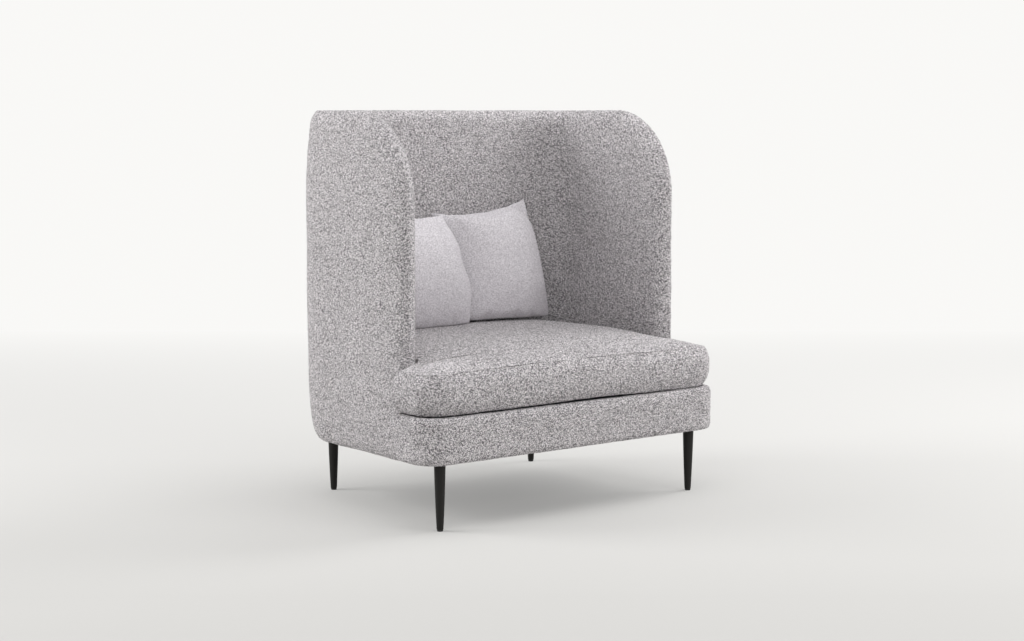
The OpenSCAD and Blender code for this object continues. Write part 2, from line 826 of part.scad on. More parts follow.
cushion_outline = cushion_plan(0);
cushion_seam = cushion_plan(border_draw);
cushion_rings = concat(
    [for (share = [for (i = [len(bottom_ring_shares) - 1 : -1 : 0]) bottom_ring_shares[i]])
        at_heights(towards_middle(cushion_seam, share), 0)],
    [for (row = border_shares) let (ring = cushion_plan(row[0] * border_draw))
        [for (i = [0 : len(ring) - 1])
            let (p = ring[i], cut = min(channel(cushion_outline[i], row[1]), zip_channel))
            [p[0], p[1] - max(cut - row[0] * border_draw, 0),
                cushion_bottom + row[1] * (cushion_h + crown(p))]]],
    [for (share = top_ring_shares) at_heights(towards_middle(cushion_seam, share), 1)]);

// Closed skin over rings of points of the same count, with a point that closes each end
module ringed_solid(rings, first, last) {
    n = len(rings[0]);
    m = len(rings);
    points = concat([first], [for (ring = rings) each ring], [last]);
    faces = concat(
        [for (i = [0 : n - 1]) [0, 1 + i, 1 + (i + 1) % n]],
        [for (k = [0 : m - 2]) for (i = [0 : n - 1])
            let (a = 1 + k * n + i, b = 1 + k * n + (i + 1) % n)
                each [[a, a + n, b], [b, a + n, b + n]]],
        [for (i = [0 : n - 1]) [1 + m * n, 1 + (m - 1) * n + (i + 1) % n, 1 + (m - 1) * n + i]]);
    polyhedron(points = points, faces = faces);
}

cushion_core_z = cushion_bottom + (cushion_h - cushion_core_h) / 2;

// Plan of the foam core, a T with round front corners
module core_plan(inset) {
    polygon(cushion_plan(inset));
}

module cushion_core() {
    color(foam_cream) translate([0, 0, cushion_core_z])
        linear_extrude(cushion_core_h) core_plan(cushion_core_in);
}

// Cushion cover with its wadding: crowned on top, drawn in at both seams, flat underneath
module cushion_cover() {
    color(cloth_grey) difference() {
        ringed_solid(cushion_rings,
            [cushion_middle[0], cushion_middle[1], cushion_bottom],
            [cushion_middle[0], cushion_middle[1], cushion_bottom + cushion_h + crown(cushion_middle)]);
        translate([0, 0, cushion_core_z]) linear_extrude(cushion_core_h)
            core_plan(cushion_core_in);
    }
}

// Zip: a tape with a coil along its middle
module cushion_zip() {
    color(zip_grey) union() {
        translate([-zip_l / 2, zip_y + seat_gap, zip_z - zip_tape_h / 2])
            cube([zip_l, zip_tape_t, zip_tape_h]);
        translate([-zip_l / 2, zip_y + seat_gap + zip_tape_t, zip_z - zip_coil_d / 2])
            cube([zip_l, zip_coil_d / 2, zip_coil_d]);
    }
}

// Slider astride the coil, with its pull tab hanging
module zip_slider() {
    coil_room = zip_coil_d + 2 * seat_gap;
    back = zip_y + seat_gap + zip_tape_t + seat_gap;
    color(zinc_grey) translate([-zip_l / 2, back, zip_z]) union() {
        difference() {
            translate([0, 0, -slider_w / 2]) cube([slider_l, zip_coil_d / 2 + slider_t, slider_w]);
            translate([-over, -over, -coil_room / 2])
                cube([slider_l + 2 * over, zip_coil_d / 2 + over, coil_room]);
        }
        translate([slider_l / 3, zip_coil_d / 2 + slider_t, -slider_w * 1.6])
            cube([slider_l / 3, slider_t / 2, slider_w * 2]);
    }
}

// Half thickness of a pillow at a point of its square, each coordinate from -1 to 1
function pillow_half(u, v) = pillow_t / 2 * pow(max((1 - u * u) * (1 - v * v), 0), 0.52);

// Point of a pillow's front or back as it lies flat. Its sides draw in between the corners, but not
// where it is pressed to the seat, and its thin corners bend back to what it leans on
function pillow_point(u, v, side, shares, draws) = let (
    low = shares[0] * (1 - u) / 2 + shares[1] * (1 + u) / 2,
    high = shares[3] * (1 - u) / 2 + shares[2] * (1 + u) / 2,
    flat = pillow_side * (low * (1 - v) / 2 + high * (1 + v) / 2),
    draw = u < 0 ? draws[0] : draws[1],
    pressed = v < 0 ? 1 + v : 1)
    [flat[0] - u * draw * (1 - v * v),
        side * pillow_half(u, v) + pillow_bend * pow(u * v, 2),
        flat[1] - v * pillow_draw * (1 - u * u) * pressed];

// The same point leant back and turned in its place
function placed(p, place) = let (
    y = p[1] * cos(place[4]) + p[2] * sin(place[4]),
    z = p[2] * cos(place[4]) - p[1] * sin(place[4]))
    [place[0] + p[0] * cos(place[3]) - y * sin(place[3]),
        place[1] + p[0] * sin(place[3]) + y * cos(place[3]), place[2] + z];

// The wall's inner face, as a place in depth for a place across the chair
function wall_face(x) = abs(x) < corner_x ? wall_rear - wall_t
    : corner_y + sqrt(max(pow(rear_r - wall_t, 2) - pow(abs(x) - corner_x, 2), 0));

function parting(x) = cushion_rear + (x - parting_share * cushion_neck_x) * parting_slope;

// A soft pillow gives way: to the wall behind it, the seat under it and the plane between the pillows
function pressed_in(p, in_front) = let (
    behind = min(p[1], wall_face(p[0]) - pillow_fit),
    y = in_front ? min(behind, parting(p[0]) - seat_gap) : max(behind, parting(p[0]) + seat_gap),
    seat = cushion_bottom + cushion_h + crown([p[0], y]))
    [p[0], y, max(p[2], seat + seat_gap)];

// Points close up towards the seams, where the pillow curves most
function pillow_line(i) = sin(90 * (2 * i / (pillow_lines - 1) - 1));

module pillow(place, shares, draws, in_front) {
    n = pillow_lines;
    front = [for (j = [0 : n - 1]) for (i = [0 : n - 1])
        pillow_point(pillow_line(i), pillow_line(j), -1, shares, draws)];
    back = [for (j = [1 : n - 2]) for (i = [1 : n - 2])
        pillow_point(pillow_line(i), pillow_line(j), 1, shares, draws)];
    points = [for (p = concat(front, back)) pressed_in(placed(p, place), in_front)];
    faces = [for (j = [n - 2 : -1 : 0]) for (i = [n - 2 : -1 : 0])
        let (a = pillow_index(i, j, n), b = pillow_index(i + 1, j, n),
            c = pillow_index(i + 1, j + 1, n), d = pillow_index(i, j + 1, n),
            e = back_index(i, j, n), f = back_index(i + 1, j, n),
            g = back_index(i + 1, j + 1, n), h = back_index(i, j + 1, n))
            each (2 * i < n - 2) == (2 * j < n - 2)
                ? [[e, g, h], [e, f, g], [a, d, c], [a, c, b]]
                : [[e, f, h], [f, g, h], [a, d, b], [d, c, b]]];
    polyhedron(points = points, faces = faces);
}

function pillow_index(i, j, n) = j * n + i;

// The back shares the front's points along the seam
function back_index(i, j, n) = i == 0 || j == 0 || i == n - 1 || j == n - 1
    ? pillow_index(i, j, n) : n * n + (j - 1) * (n - 2) + i - 1;

module pillow_left() {
    color(pillow_grey) pillow(left_pillow_place, left_corner_shares, left_draws, true);
}

module pillow_right() {
    color(pillow_grey) pillow(right_pillow_place, right_corner_shares, right_draws, false);
}

shell_core();
shell_plinth();
shell_outer_foam();
shell_inner_foam();
shell_edge_roll();
shell_inner_cover();
shell_outer_cover();
shell_bolts();
shell_washers();
shell_tee_nuts();
front_rail();
middle_rail();
rear_rail();
side_rail_left();
side_rail_right();
ear_rail_left();
ear_rail_right();
corner_blocks();
leg_boards();
seat_webbing_long();
seat_webbing_cross();
deck_pad();
deck_lining();
base_foam();
base_cover();
bottom_lining();
leg_front_left();
leg_front_right();
leg_rear_left();
leg_rear_right();
leg_tee_nuts();
leg_glides();
cushion_core();
cushion_cover();
cushion_zip();
zip_slider();
pillow_left();
pillow_right();
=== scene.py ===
import math

import bpy
import bmesh
import numpy as np
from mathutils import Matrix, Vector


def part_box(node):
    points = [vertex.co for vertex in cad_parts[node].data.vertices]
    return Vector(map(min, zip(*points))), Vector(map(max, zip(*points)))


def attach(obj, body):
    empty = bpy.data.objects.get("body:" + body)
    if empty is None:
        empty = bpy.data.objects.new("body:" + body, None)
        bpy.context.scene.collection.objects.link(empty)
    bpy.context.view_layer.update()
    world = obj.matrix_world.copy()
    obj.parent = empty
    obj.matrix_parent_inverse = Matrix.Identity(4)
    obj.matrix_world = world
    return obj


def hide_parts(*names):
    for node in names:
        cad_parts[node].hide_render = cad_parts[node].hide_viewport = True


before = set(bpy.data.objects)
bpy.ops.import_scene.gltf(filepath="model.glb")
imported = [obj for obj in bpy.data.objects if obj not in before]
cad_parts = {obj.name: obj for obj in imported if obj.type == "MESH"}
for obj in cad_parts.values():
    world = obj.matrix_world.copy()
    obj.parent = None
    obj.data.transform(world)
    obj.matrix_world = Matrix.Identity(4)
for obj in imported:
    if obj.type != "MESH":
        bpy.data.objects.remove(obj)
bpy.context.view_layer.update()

scene = bpy.context.scene
print("frame loaded,", len(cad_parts), "nodes")


def nodeBox(*names):
    # lowest and highest corner round all the named nodes
    boxes = [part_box(name) for name in names]
    low = np.min([np.array(box[0]) for box in boxes], axis=0)
    high = np.max([np.array(box[1]) for box in boxes], axis=0)
    return low, high


def smoothStep(value, start, end):
    # 0 before start, 1 after end, and 3t^2 - 2t^3 between them
    t = np.clip((value - start) / (end - start), 0, 1)
    return t * t * (3 - 2 * t)


def latticeNoise(points, cellSize, seed):
    # A random value at each corner of a cubic lattice, blended smoothly inside each cell, from -1 to 1.
    # The large numbers scatter the bits of the corner's three whole coordinates.
    scatter = np.array([73856093, 19349663, 83492791])
    cell = np.floor(points / cellSize)
    t = points / cellSize - cell
    t = t * t * (3 - 2 * t)
    cell = cell.astype(np.int64)
    total = np.zeros(len(points))
    for corner in np.ndindex(2, 2, 2):
        key = (cell + np.array(corner)) @ scatter + seed * 2654435
        key = (key ^ (key >> 13)) * 1274126177
        value = ((key ^ (key >> 15)) & 0xFFFF) / 32767.5 - 1
        total += value * np.prod(np.where(np.array(corner) == 1, t, 1 - t), axis=1)
    return total


def gridFaces(rows, columns, first=0, closedRows=False, closedColumns=False):
    # four corners of each cell of a grid whose points are numbered row by row
    r = np.arange(rows if closedRows else rows - 1)
    c = np.arange(columns if closedColumns else columns - 1)
    r, c = np.meshgrid(r, c, indexing="ij")
    r, c = r.ravel(), c.ravel()
    nextR, nextC = (r + 1) % rows, (c + 1) % columns
    return first + np.stack([r * columns + c, r * columns + nextC, nextR * columns + nextC,
                             nextR * columns + c], axis=1)


def meshPiece(name, points, faces, mergeWithin=0.0):
    # one object from arrays of points and faces, with doubles merged and faces turned outwards
    mesh = bpy.data.meshes.new(name)
    mesh.from_pydata(np.asarray(points, float).tolist(), [], [list(f) for f in faces])
    work = bmesh.new()
    work.from_mesh(mesh)
    if mergeWithin:
        bmesh.ops.remove_doubles(work, verts=work.verts, dist=mergeWithin)
    bmesh.ops.recalc_face_normals(work, faces=work.faces)
    work.to_mesh(mesh)
    work.free()
    mesh.polygons.foreach_set("use_smooth", np.ones(len(mesh.polygons), bool))
    mesh.update()
    piece = bpy.data.objects.new(name, mesh)
    scene.collection.objects.link(piece)
    return piece


def pointsOf(piece):
    found = np.empty(len(piece.data.vertices) * 3)
    piece.data.vertices.foreach_get("co", found)
    return found.reshape(-1, 3)


def setPoints(piece, points):
    piece.data.vertices.foreach_set("co", np.asarray(points, float).ravel())
    piece.data.update()


def normalsOf(piece):
    found = np.empty(len(piece.data.vertices) * 3)
    piece.data.vertex_normals.foreach_get("vector", found)
    return found.reshape(-1, 3)


def moveAlongNormals(piece, distance):
    setPoints(piece, pointsOf(piece) + normalsOf(piece) * distance[:, None])


def roughen(piece, layers):
    # each layer is a cell size, a height and a seed: the sum of their noises lifts the surface
    points = pointsOf(piece)
    lift = sum(height * latticeNoise(points, cell, seed) for cell, height, seed in layers)
    moveAlongNormals(piece, lift)


def applyModifiers(piece):
    depsgraph = bpy.context.evaluated_depsgraph_get()
    finished = bpy.data.meshes.new_from_object(piece.evaluated_get(depsgraph))
    piece.modifiers.clear()
    piece.data = finished
    piece.data.polygons.foreach_set("use_smooth", np.ones(len(finished.polygons), bool))


def roundedOutline(corners, spacing, inset=0.0, sharpest=0.0004):
    # Outline of straight sides with a round at each corner, counterclockwise. A corner is x, y and its
    # radius, below zero where the outline turns inwards. An inset moves each side in square to itself,
    # and all insets give the same number of points, so that outlines can be joined as rings.
    count = len(corners)
    points, outward = [], []
    for i in range(count):
        before, here, after = (np.array(corners[(i + k) % count][:2]) for k in (-1, 0, 1))
        along, onward = here - before, after - here
        along, onward = along / np.linalg.norm(along), onward / np.linalg.norm(onward)
        radius = abs(corners[i][2])
        turn = np.sign(corners[i][2]) or 1.0
        steps = max(2, int(math.ceil(radius * math.pi / 2 / spacing)))
        out, outNext = np.array([along[1], -along[0]]), np.array([onward[1], -onward[0]])
        corner = here - inset * (out + outNext)
        drawn = max(radius - turn * inset, sharpest)
        centre = corner - turn * drawn * (out + outNext)
        angle = np.linspace(0, math.pi / 2, steps + 1)[:, None]
        normal = out * np.cos(angle) + outNext * np.sin(angle)
        points.append(centre + turn * drawn * normal)
        outward.append(normal)
    runs, normals = [], []
    for i in range(count):
        start, end = points[i][-1], points[(i + 1) % count][0]
        plainStart = np.array(corners[i][:2])
        plainEnd = np.array(corners[(i + 1) % count][:2])
        steps = max(2, int(np.linalg.norm(plainEnd - plainStart) / spacing))
        t = np.linspace(0, 1, steps + 1)[1:-1, None]
        runs += [points[i], start + (end - start) * t]
        normals += [outward[i], np.repeat(outward[i][-1:], len(t), axis=0)]
    return np.concatenate(runs), np.concatenate(normals)


cameraView = {"place": (-3.5897, -4.6766, 1.1997), "pitch": 6.336, "turn": -37.83, "lens": 66.555,
              "sensor": 36, "clipEnd": 100}


def makeCamera():
    lens = bpy.data.cameras.new("camera")
    lens.sensor_width = cameraView["sensor"]
    lens.lens = cameraView["lens"]
    lens.clip_end = cameraView["clipEnd"]
    camera = bpy.data.objects.new("camera", lens)
    camera.location = cameraView["place"]
    camera.rotation_euler = (math.radians(90 - cameraView["pitch"]), 0, math.radians(cameraView["turn"]))
    scene.collection.objects.link(camera)
    scene.camera = camera


makeCamera()
print("camera set")


def nodeMaterial(name):
    material = bpy.data.materials.new(name)
    material.use_nodes = True
    return material, material.node_tree, material.node_tree.nodes["Principled BSDF"]


def plug(tree, node, inputs):
    # each input of a node takes another node's output or else a plain value
    for label, value in inputs.items():
        if isinstance(value, bpy.types.NodeSocket):
            tree.links.new(value, node.inputs[label])
        else:
            node.inputs[label].default_value = value


def addNode(tree, kind, inputs=None, **settings):
    # one shader node: its settings first, because some inputs only show with them
    node = tree.nodes.new("ShaderNode" + kind)
    for label, value in settings.items():
        setattr(node, label, value)
    plug(tree, node, inputs or {})
    return node


def newGroup(name, inputs, outputs):
    # a shader node group with named sockets: inputs give their type and value, outputs their type
    group = bpy.data.node_groups.new(name, "ShaderNodeTree")
    for label, kind, value in inputs:
        socket = group.interface.new_socket(label, in_out="INPUT", socket_type="NodeSocket" + kind)
        socket.default_value = value
    for label, kind in outputs:
        group.interface.new_socket(label, in_out="OUTPUT", socket_type="NodeSocket" + kind)
    given, result = group.nodes.new("NodeGroupInput"), group.nodes.new("NodeGroupOutput")
    return group, given.outputs, result


def calc(tree, operation, first, second=0.5, clamp=False):
    # one arithmetic step on two sockets or numbers
    return addNode(tree, "Math", {0: first, 1: second}, operation=operation, use_clamp=clamp).outputs[0]


def vectorStep(tree, operation, *values):
    return addNode(tree, "VectorMath", dict(enumerate(values)), operation=operation).outputs


def objectPlace(tree):
    return addNode(tree, "TexCoord").outputs["Object"]


def noiseNode(tree, place, scale, detail=2, roughness=0.5):
    return addNode(tree, "TexNoise", {"Vector": place, "Scale": scale, "Detail": detail,
                                      "Roughness": roughness}).outputs


def mixColours(tree, share, first, second):
    return addNode(tree, "Mix", {0: share, 6: first, 7: second}, data_type="RGBA").outputs[2]


def ramp(tree, source, start, end):
    # a smooth step from one pair of value and brightness to the other
    return addNode(tree, "MapRange", {0: source, 1: start[0], 3: start[1], 2: end[0], 4: end[1]},
                   interpolation_type="SMOOTHSTEP").outputs[0]


# Scales are shares of the loops' own, and the three ramps are pairs of value and brightness. The gap ramp,
# with its floor, paints shade into the gaps between loops
yarnForm = {"stretch": (1, 1, 1.3), "bendScale": 0.55, "bendReach": 2.6, "strandScale": 2.3,
            "ownShade": ((0.22, 0.0), (0.6, 1.0)), "gap": ((0.35, 1.0), (0.72, 0.0)),
            "strand": ((0.4, 0.0), (0.58, 1.0)), "body": 0.83, "gapShadeFloor": 0.16, "strandHeight": 0.35}


def makeLoopedYarn():
    # Bouclé: small curled loops of light yarn with dark flecks between them, and painted shade that darkens
    # the gaps between loops, where the surface is lowest. Loops are the cells of a Voronoi pattern, pushed
    # about by noise so that they curl, and each has its own tone of yarn.
    group, given, result = newGroup(
        "loopedYarn",
        [("Loop Size", "Float", 0.0042), ("Light", "Color", (0.6, 0.58, 0.58, 1)),
         ("Dark", "Color", (0.1, 0.1, 0.11, 1)), ("Fleck And Gap Shade Share", "Float", 0.4)],
        [("Color", "Color"), ("Height", "Float")])
    place = vectorStep(group, "MULTIPLY", objectPlace(group), yarnForm["stretch"])[0]
    size = given["Loop Size"]
    frequency = calc(group, "DIVIDE", 1.0, size)
    bend = noiseNode(group, place, calc(group, "MULTIPLY", frequency, yarnForm["bendScale"]))
    centred = vectorStep(group, "SUBTRACT", bend["Color"], (0.5, 0.5, 0.5))[0]
    reach = calc(group, "MULTIPLY", size, yarnForm["bendReach"])
    pushed = vectorStep(group, "MULTIPLY_ADD", centred, reach, place)[0]
    loops = addNode(group, "TexVoronoi", {"Vector": pushed, "Scale": frequency}, feature="F1").outputs
    strands = noiseNode(group, place, calc(group, "MULTIPLY", frequency, yarnForm["strandScale"]), 3, 0.7)
    tone = addNode(group, "SeparateColor", {0: loops["Color"]}).outputs[0]
    ownShade = ramp(group, tone, *yarnForm["ownShade"])
    # painted shade: the colour darkens towards each loop's edge, where the height is lowest too, to stand
    # for the shade in the gaps between loops
    gap = ramp(group, loops["Distance"], *yarnForm["gap"])
    strand = ramp(group, strands[0], *yarnForm["strand"])
    body = calc(group, "MULTIPLY", calc(group, "ADD", ownShade, strand), yarnForm["body"])
    # painted shade in the gaps between loops, with the floor as the least light kept there
    body = calc(group, "MULTIPLY", body, calc(group, "ADD", gap, yarnForm["gapShadeFloor"]))
    light = calc(group, "ADD", calc(group, "SUBTRACT", 1.0, given["Fleck And Gap Shade Share"]), body, clamp=True)
    lift = calc(group, "MULTIPLY", strand, yarnForm["strandHeight"])
    plug(group, result, {"Color": mixColours(group, light, given["Dark"], given["Light"]),
                         "Height": calc(group, "ADD", gap, lift)})
    return group


weaveForm = {"crossing": 0.22, "slubScale": 400, "slub": ((0.4, 0.0), (0.6, 1.0)),
             "cloudScale": 30, "cloud": 0.2, "darker": 0.1}


def makePlainWeave():
    # Fine plain weave: the product of two sines, one across and one upwards, with thick and thin
    # threads from one noise and faint clouds from another
    group, given, result = newGroup(
        "plainWeave",
        [("Thread", "Float", 0.0011), ("Light", "Color", (0.6, 0.6, 0.6, 1)),
         ("Dark", "Color", (0.4, 0.4, 0.4, 1))],
        [("Color", "Color"), ("Height", "Float")])
    place = objectPlace(group)
    parts = addNode(group, "SeparateXYZ", {0: place}).outputs
    turns = calc(group, "DIVIDE", math.pi, given["Thread"])
    warp, weft = (calc(group, "SINE", calc(group, "MULTIPLY", parts[axis], turns)) for axis in (0, 2))
    cross = calc(group, "MULTIPLY", warp, weft)
    slub = noiseNode(group, place, weaveForm["slubScale"], 3)[0]
    cloud = noiseNode(group, place, weaveForm["cloudScale"])[0]
    tone = calc(group, "ADD", calc(group, "MULTIPLY", cross, weaveForm["crossing"]),
                ramp(group, slub, *weaveForm["slub"]))
    tone = calc(group, "ADD", tone, calc(group, "MULTIPLY", cloud, weaveForm["cloud"]))
    tone = calc(group, "SUBTRACT", tone, weaveForm["darker"], clamp=True)
    plug(group, result, {"Color": mixColours(group, tone, given["Dark"], given["Light"]),
                         "Height": calc(group, "ADD", cross, slub)})
    return group


mottleForm = {"fineScale": 7.0, "broad": 0.6, "fine": 0.4, "ramp": ((0.35, 0.0), (0.65, 1.0)),
              "bumpDepth": 0.0006}


def makeMottle():
    # Colour and roughness that drift over the surface: two noises, one broad and one fine
    group, given, result = newGroup(
        "mottle",
        [("Scale", "Float", 60.0), ("Stretch", "Vector", (1, 1, 1)), ("First", "Color", (0.5, 0.5, 0.5, 1)),
         ("Second", "Color", (0.4, 0.4, 0.4, 1)), ("Roughness From", "Float", 0.4),
         ("Roughness To", "Float", 0.6)],
        [("Color", "Color"), ("Roughness", "Float"), ("Height", "Float")])
    place = vectorStep(group, "MULTIPLY", objectPlace(group), given["Stretch"])[0]
    broad = noiseNode(group, place, given["Scale"], 4)[0]
    fine = noiseNode(group, place, calc(group, "MULTIPLY", given["Scale"], mottleForm["fineScale"]))[0]
    both = calc(group, "ADD", calc(group, "MULTIPLY", broad, mottleForm["broad"]),
                calc(group, "MULTIPLY", fine, mottleForm["fine"]))
    share = ramp(group, both, *mottleForm["ramp"])
    least = given["Roughness From"]
    spread = calc(group, "MULTIPLY", calc(group, "SUBTRACT", given["Roughness To"], least), share)
    plug(group, result, {"Color": mixColours(group, share, given["First"], given["Second"]),
                         "Roughness": calc(group, "ADD", least, spread), "Height": both})
    return group


# the cover's dark colour is both dark flecks of yarn and painted shade in the gaps between loops
coverCloth = {"bump": 1.0, "bumpDepth": 0.0012,
              "pattern": {"Loop Size": 0.0034, "Light": (0.96, 0.915, 0.932, 1),
                          "Dark": (0.012, 0.008, 0.014, 1), "Fleck And Gap Shade Share": 0.98},
              "finish": {"Roughness": 0.95, "Specular IOR Level": 0.2, "Sheen Weight": 0.15,
                         "Sheen Roughness": 0.5}}
pillowCloth = {"bump": 0.35, "bumpDepth": 0.0004,
               "pattern": {"Thread": 0.0013, "Light": (0.9, 0.87, 0.9, 1), "Dark": (0.48, 0.452, 0.48, 1)},
               "finish": {"Roughness": 0.9, "Specular IOR Level": 0.2, "Sheen Weight": 0.2,
                          "Sheen Roughness": 0.5}}
surfaceLooks = {
    # name: first and second colour, noise scale, stretch upwards, roughness from and to, metallic, bump
    "liningBlack": ((0.018, 0.018, 0.02), (0.03, 0.03, 0.033), 300, 1, 0.8, 0.95, 0, 0.3),
    "foamCream": ((0.8, 0.74, 0.56), (0.7, 0.63, 0.45), 260, 1, 0.85, 0.98, 0, 0.5),
    "webbingJute": ((0.2, 0.15, 0.1), (0.12, 0.09, 0.06), 400, 4, 0.8, 0.95, 0, 0.5),
    "plywoodBirch": ((0.62, 0.44, 0.25), (0.46, 0.31, 0.17), 12, 14, 0.45, 0.65, 0, 0.15),
    "beechRail": ((0.64, 0.46, 0.29), (0.53, 0.35, 0.2), 10, 10, 0.45, 0.6, 0, 0.15),
    "blackSteel": ((0.0105, 0.0098, 0.0085), (0.014, 0.013, 0.0115), 420, 1, 0.46, 0.58, 0, 0.12),
    "zincSteel": ((0.6, 0.61, 0.63), (0.45, 0.46, 0.49), 160, 1, 0.28, 0.45, 1, 0.1),
    "blackPlastic": ((0.02, 0.02, 0.02), (0.03, 0.03, 0.03), 500, 1, 0.5, 0.65, 0, 0.2),
    "zipTape": ((0.1, 0.1, 0.11), (0.06, 0.06, 0.065), 600, 3, 0.75, 0.9, 0, 0.4),
}
dullSurfaces = {"blackSteel": 0.22, "blackPlastic": 0.3}        # how much each one shines


def patternMaterial(name, group, pattern, finish, bump, bumpDepth):
    # a material whose colour and bump, and its roughness if the group gives one, come from a node group
    material, tree, shader = nodeMaterial(name)
    made = addNode(tree, "Group", pattern, node_tree=group).outputs
    relief = addNode(tree, "Bump", {"Strength": bump, "Distance": bumpDepth, "Height": made["Height"]})
    plug(tree, shader, {"Base Color": made["Color"], "Normal": relief.outputs[0], **finish})
    if "Roughness" in made:
        plug(tree, shader, {"Roughness": made["Roughness"]})
    return material


def makeSurface(name, group):
    first, second, scale, stretch, roughFrom, roughTo, metallic, bump = surfaceLooks[name]
    pattern = {"Scale": scale, "Stretch": (1, 1, stretch), "First": (*first, 1), "Second": (*second, 1),
               "Roughness From": roughFrom, "Roughness To": roughTo}
    finish = {"Metallic": metallic}
    if name in dullSurfaces:
        finish["Specular IOR Level"] = dullSurfaces[name]
    return patternMaterial(name, group, pattern, finish, bump, mottleForm["bumpDepth"])


def makeMaterials():
    yarn, weave, mottle = makeLoopedYarn(), makePlainWeave(), makeMottle()
    made = {"coverCloth": patternMaterial("coverCloth", yarn, **coverCloth),
            "pillowCloth": patternMaterial("pillowCloth", weave, **pillowCloth)}
    made.update({name: makeSurface(name, mottle) for name in surfaceLooks})
    return made


materials = makeMaterials()
nodeLooks = {
    "coverCloth": ["shell_inner_cover", "shell_outer_cover", "base_cover", "cushion_cover"],
    "pillowCloth": ["pillow_left", "pillow_right"],
    "liningBlack": ["deck_lining", "bottom_lining"],
    "foamCream": ["shell_outer_foam", "shell_inner_foam", "shell_edge_roll", "deck_pad", "base_foam",
                  "cushion_core"],
    "webbingJute": ["seat_webbing_long", "seat_webbing_cross"],
    "plywoodBirch": ["shell_core", "shell_plinth", "leg_boards"],
    "beechRail": ["front_rail", "middle_rail", "rear_rail", "side_rail_left", "side_rail_right",
                  "ear_rail_left", "ear_rail_right", "corner_blocks"],
    "blackSteel": ["leg_front_left", "leg_front_right", "leg_rear_left", "leg_rear_right"],
    "zincSteel": ["shell_bolts", "shell_washers", "shell_tee_nuts", "leg_tee_nuts", "zip_slider"],
    "blackPlastic": ["leg_glides"],
    "zipTape": ["cushion_zip"],
}


def dressNodes():
    # each CAD node keeps its mesh and gets its own finish
    for look, names in nodeLooks.items():
        for name in names:
            node = bpy.data.objects[name]
            node.data.materials.clear()
            node.data.materials.append(materials[look])


dressNodes()
print("materials made:", ", ".join(materials))


wallLow, wallHigh = nodeBox("shell_inner_cover", "shell_outer_cover")
cushionLow, cushionHigh = nodeBox("cushion_cover")
wallForm = {"thickness": 0.082, "rearRadius": 0.190, "topRadius": 0.262, "footRadius": 0.062,
            "spacing": 0.0074, "rimSteps": 20, "fewestFoot": 6, "seamFromOutside": 0.012,
            "seamDepth": 0.0006, "seamWidth": 0.0022, "seamSharp": 1.6, "seamClear": 0.1,
            "lean": 0.0145, "leanReach": 0.095, "mergeWithin": 0.00005,
            "surface": [(0.16, 0.0016, 3), (0.045, 0.0006, 4), (0.011, 0.0006, 5)]}


def depthInSheet(along, high, end, bottom, top, footRadius, topRadius):
    # how far a place on the flat sheet lies inside its edge, whose four corners are round
    far = np.abs(along)
    depth = np.minimum(end - far, np.minimum(top - high, high - bottom))
    for radius, rise in ((topRadius, top - high), (footRadius, high - bottom)):
        across, up = far - (end - radius), radius - rise
        depth = np.where((across > 0) & (up > 0), radius - np.hypot(across, up), depth)
    return depth


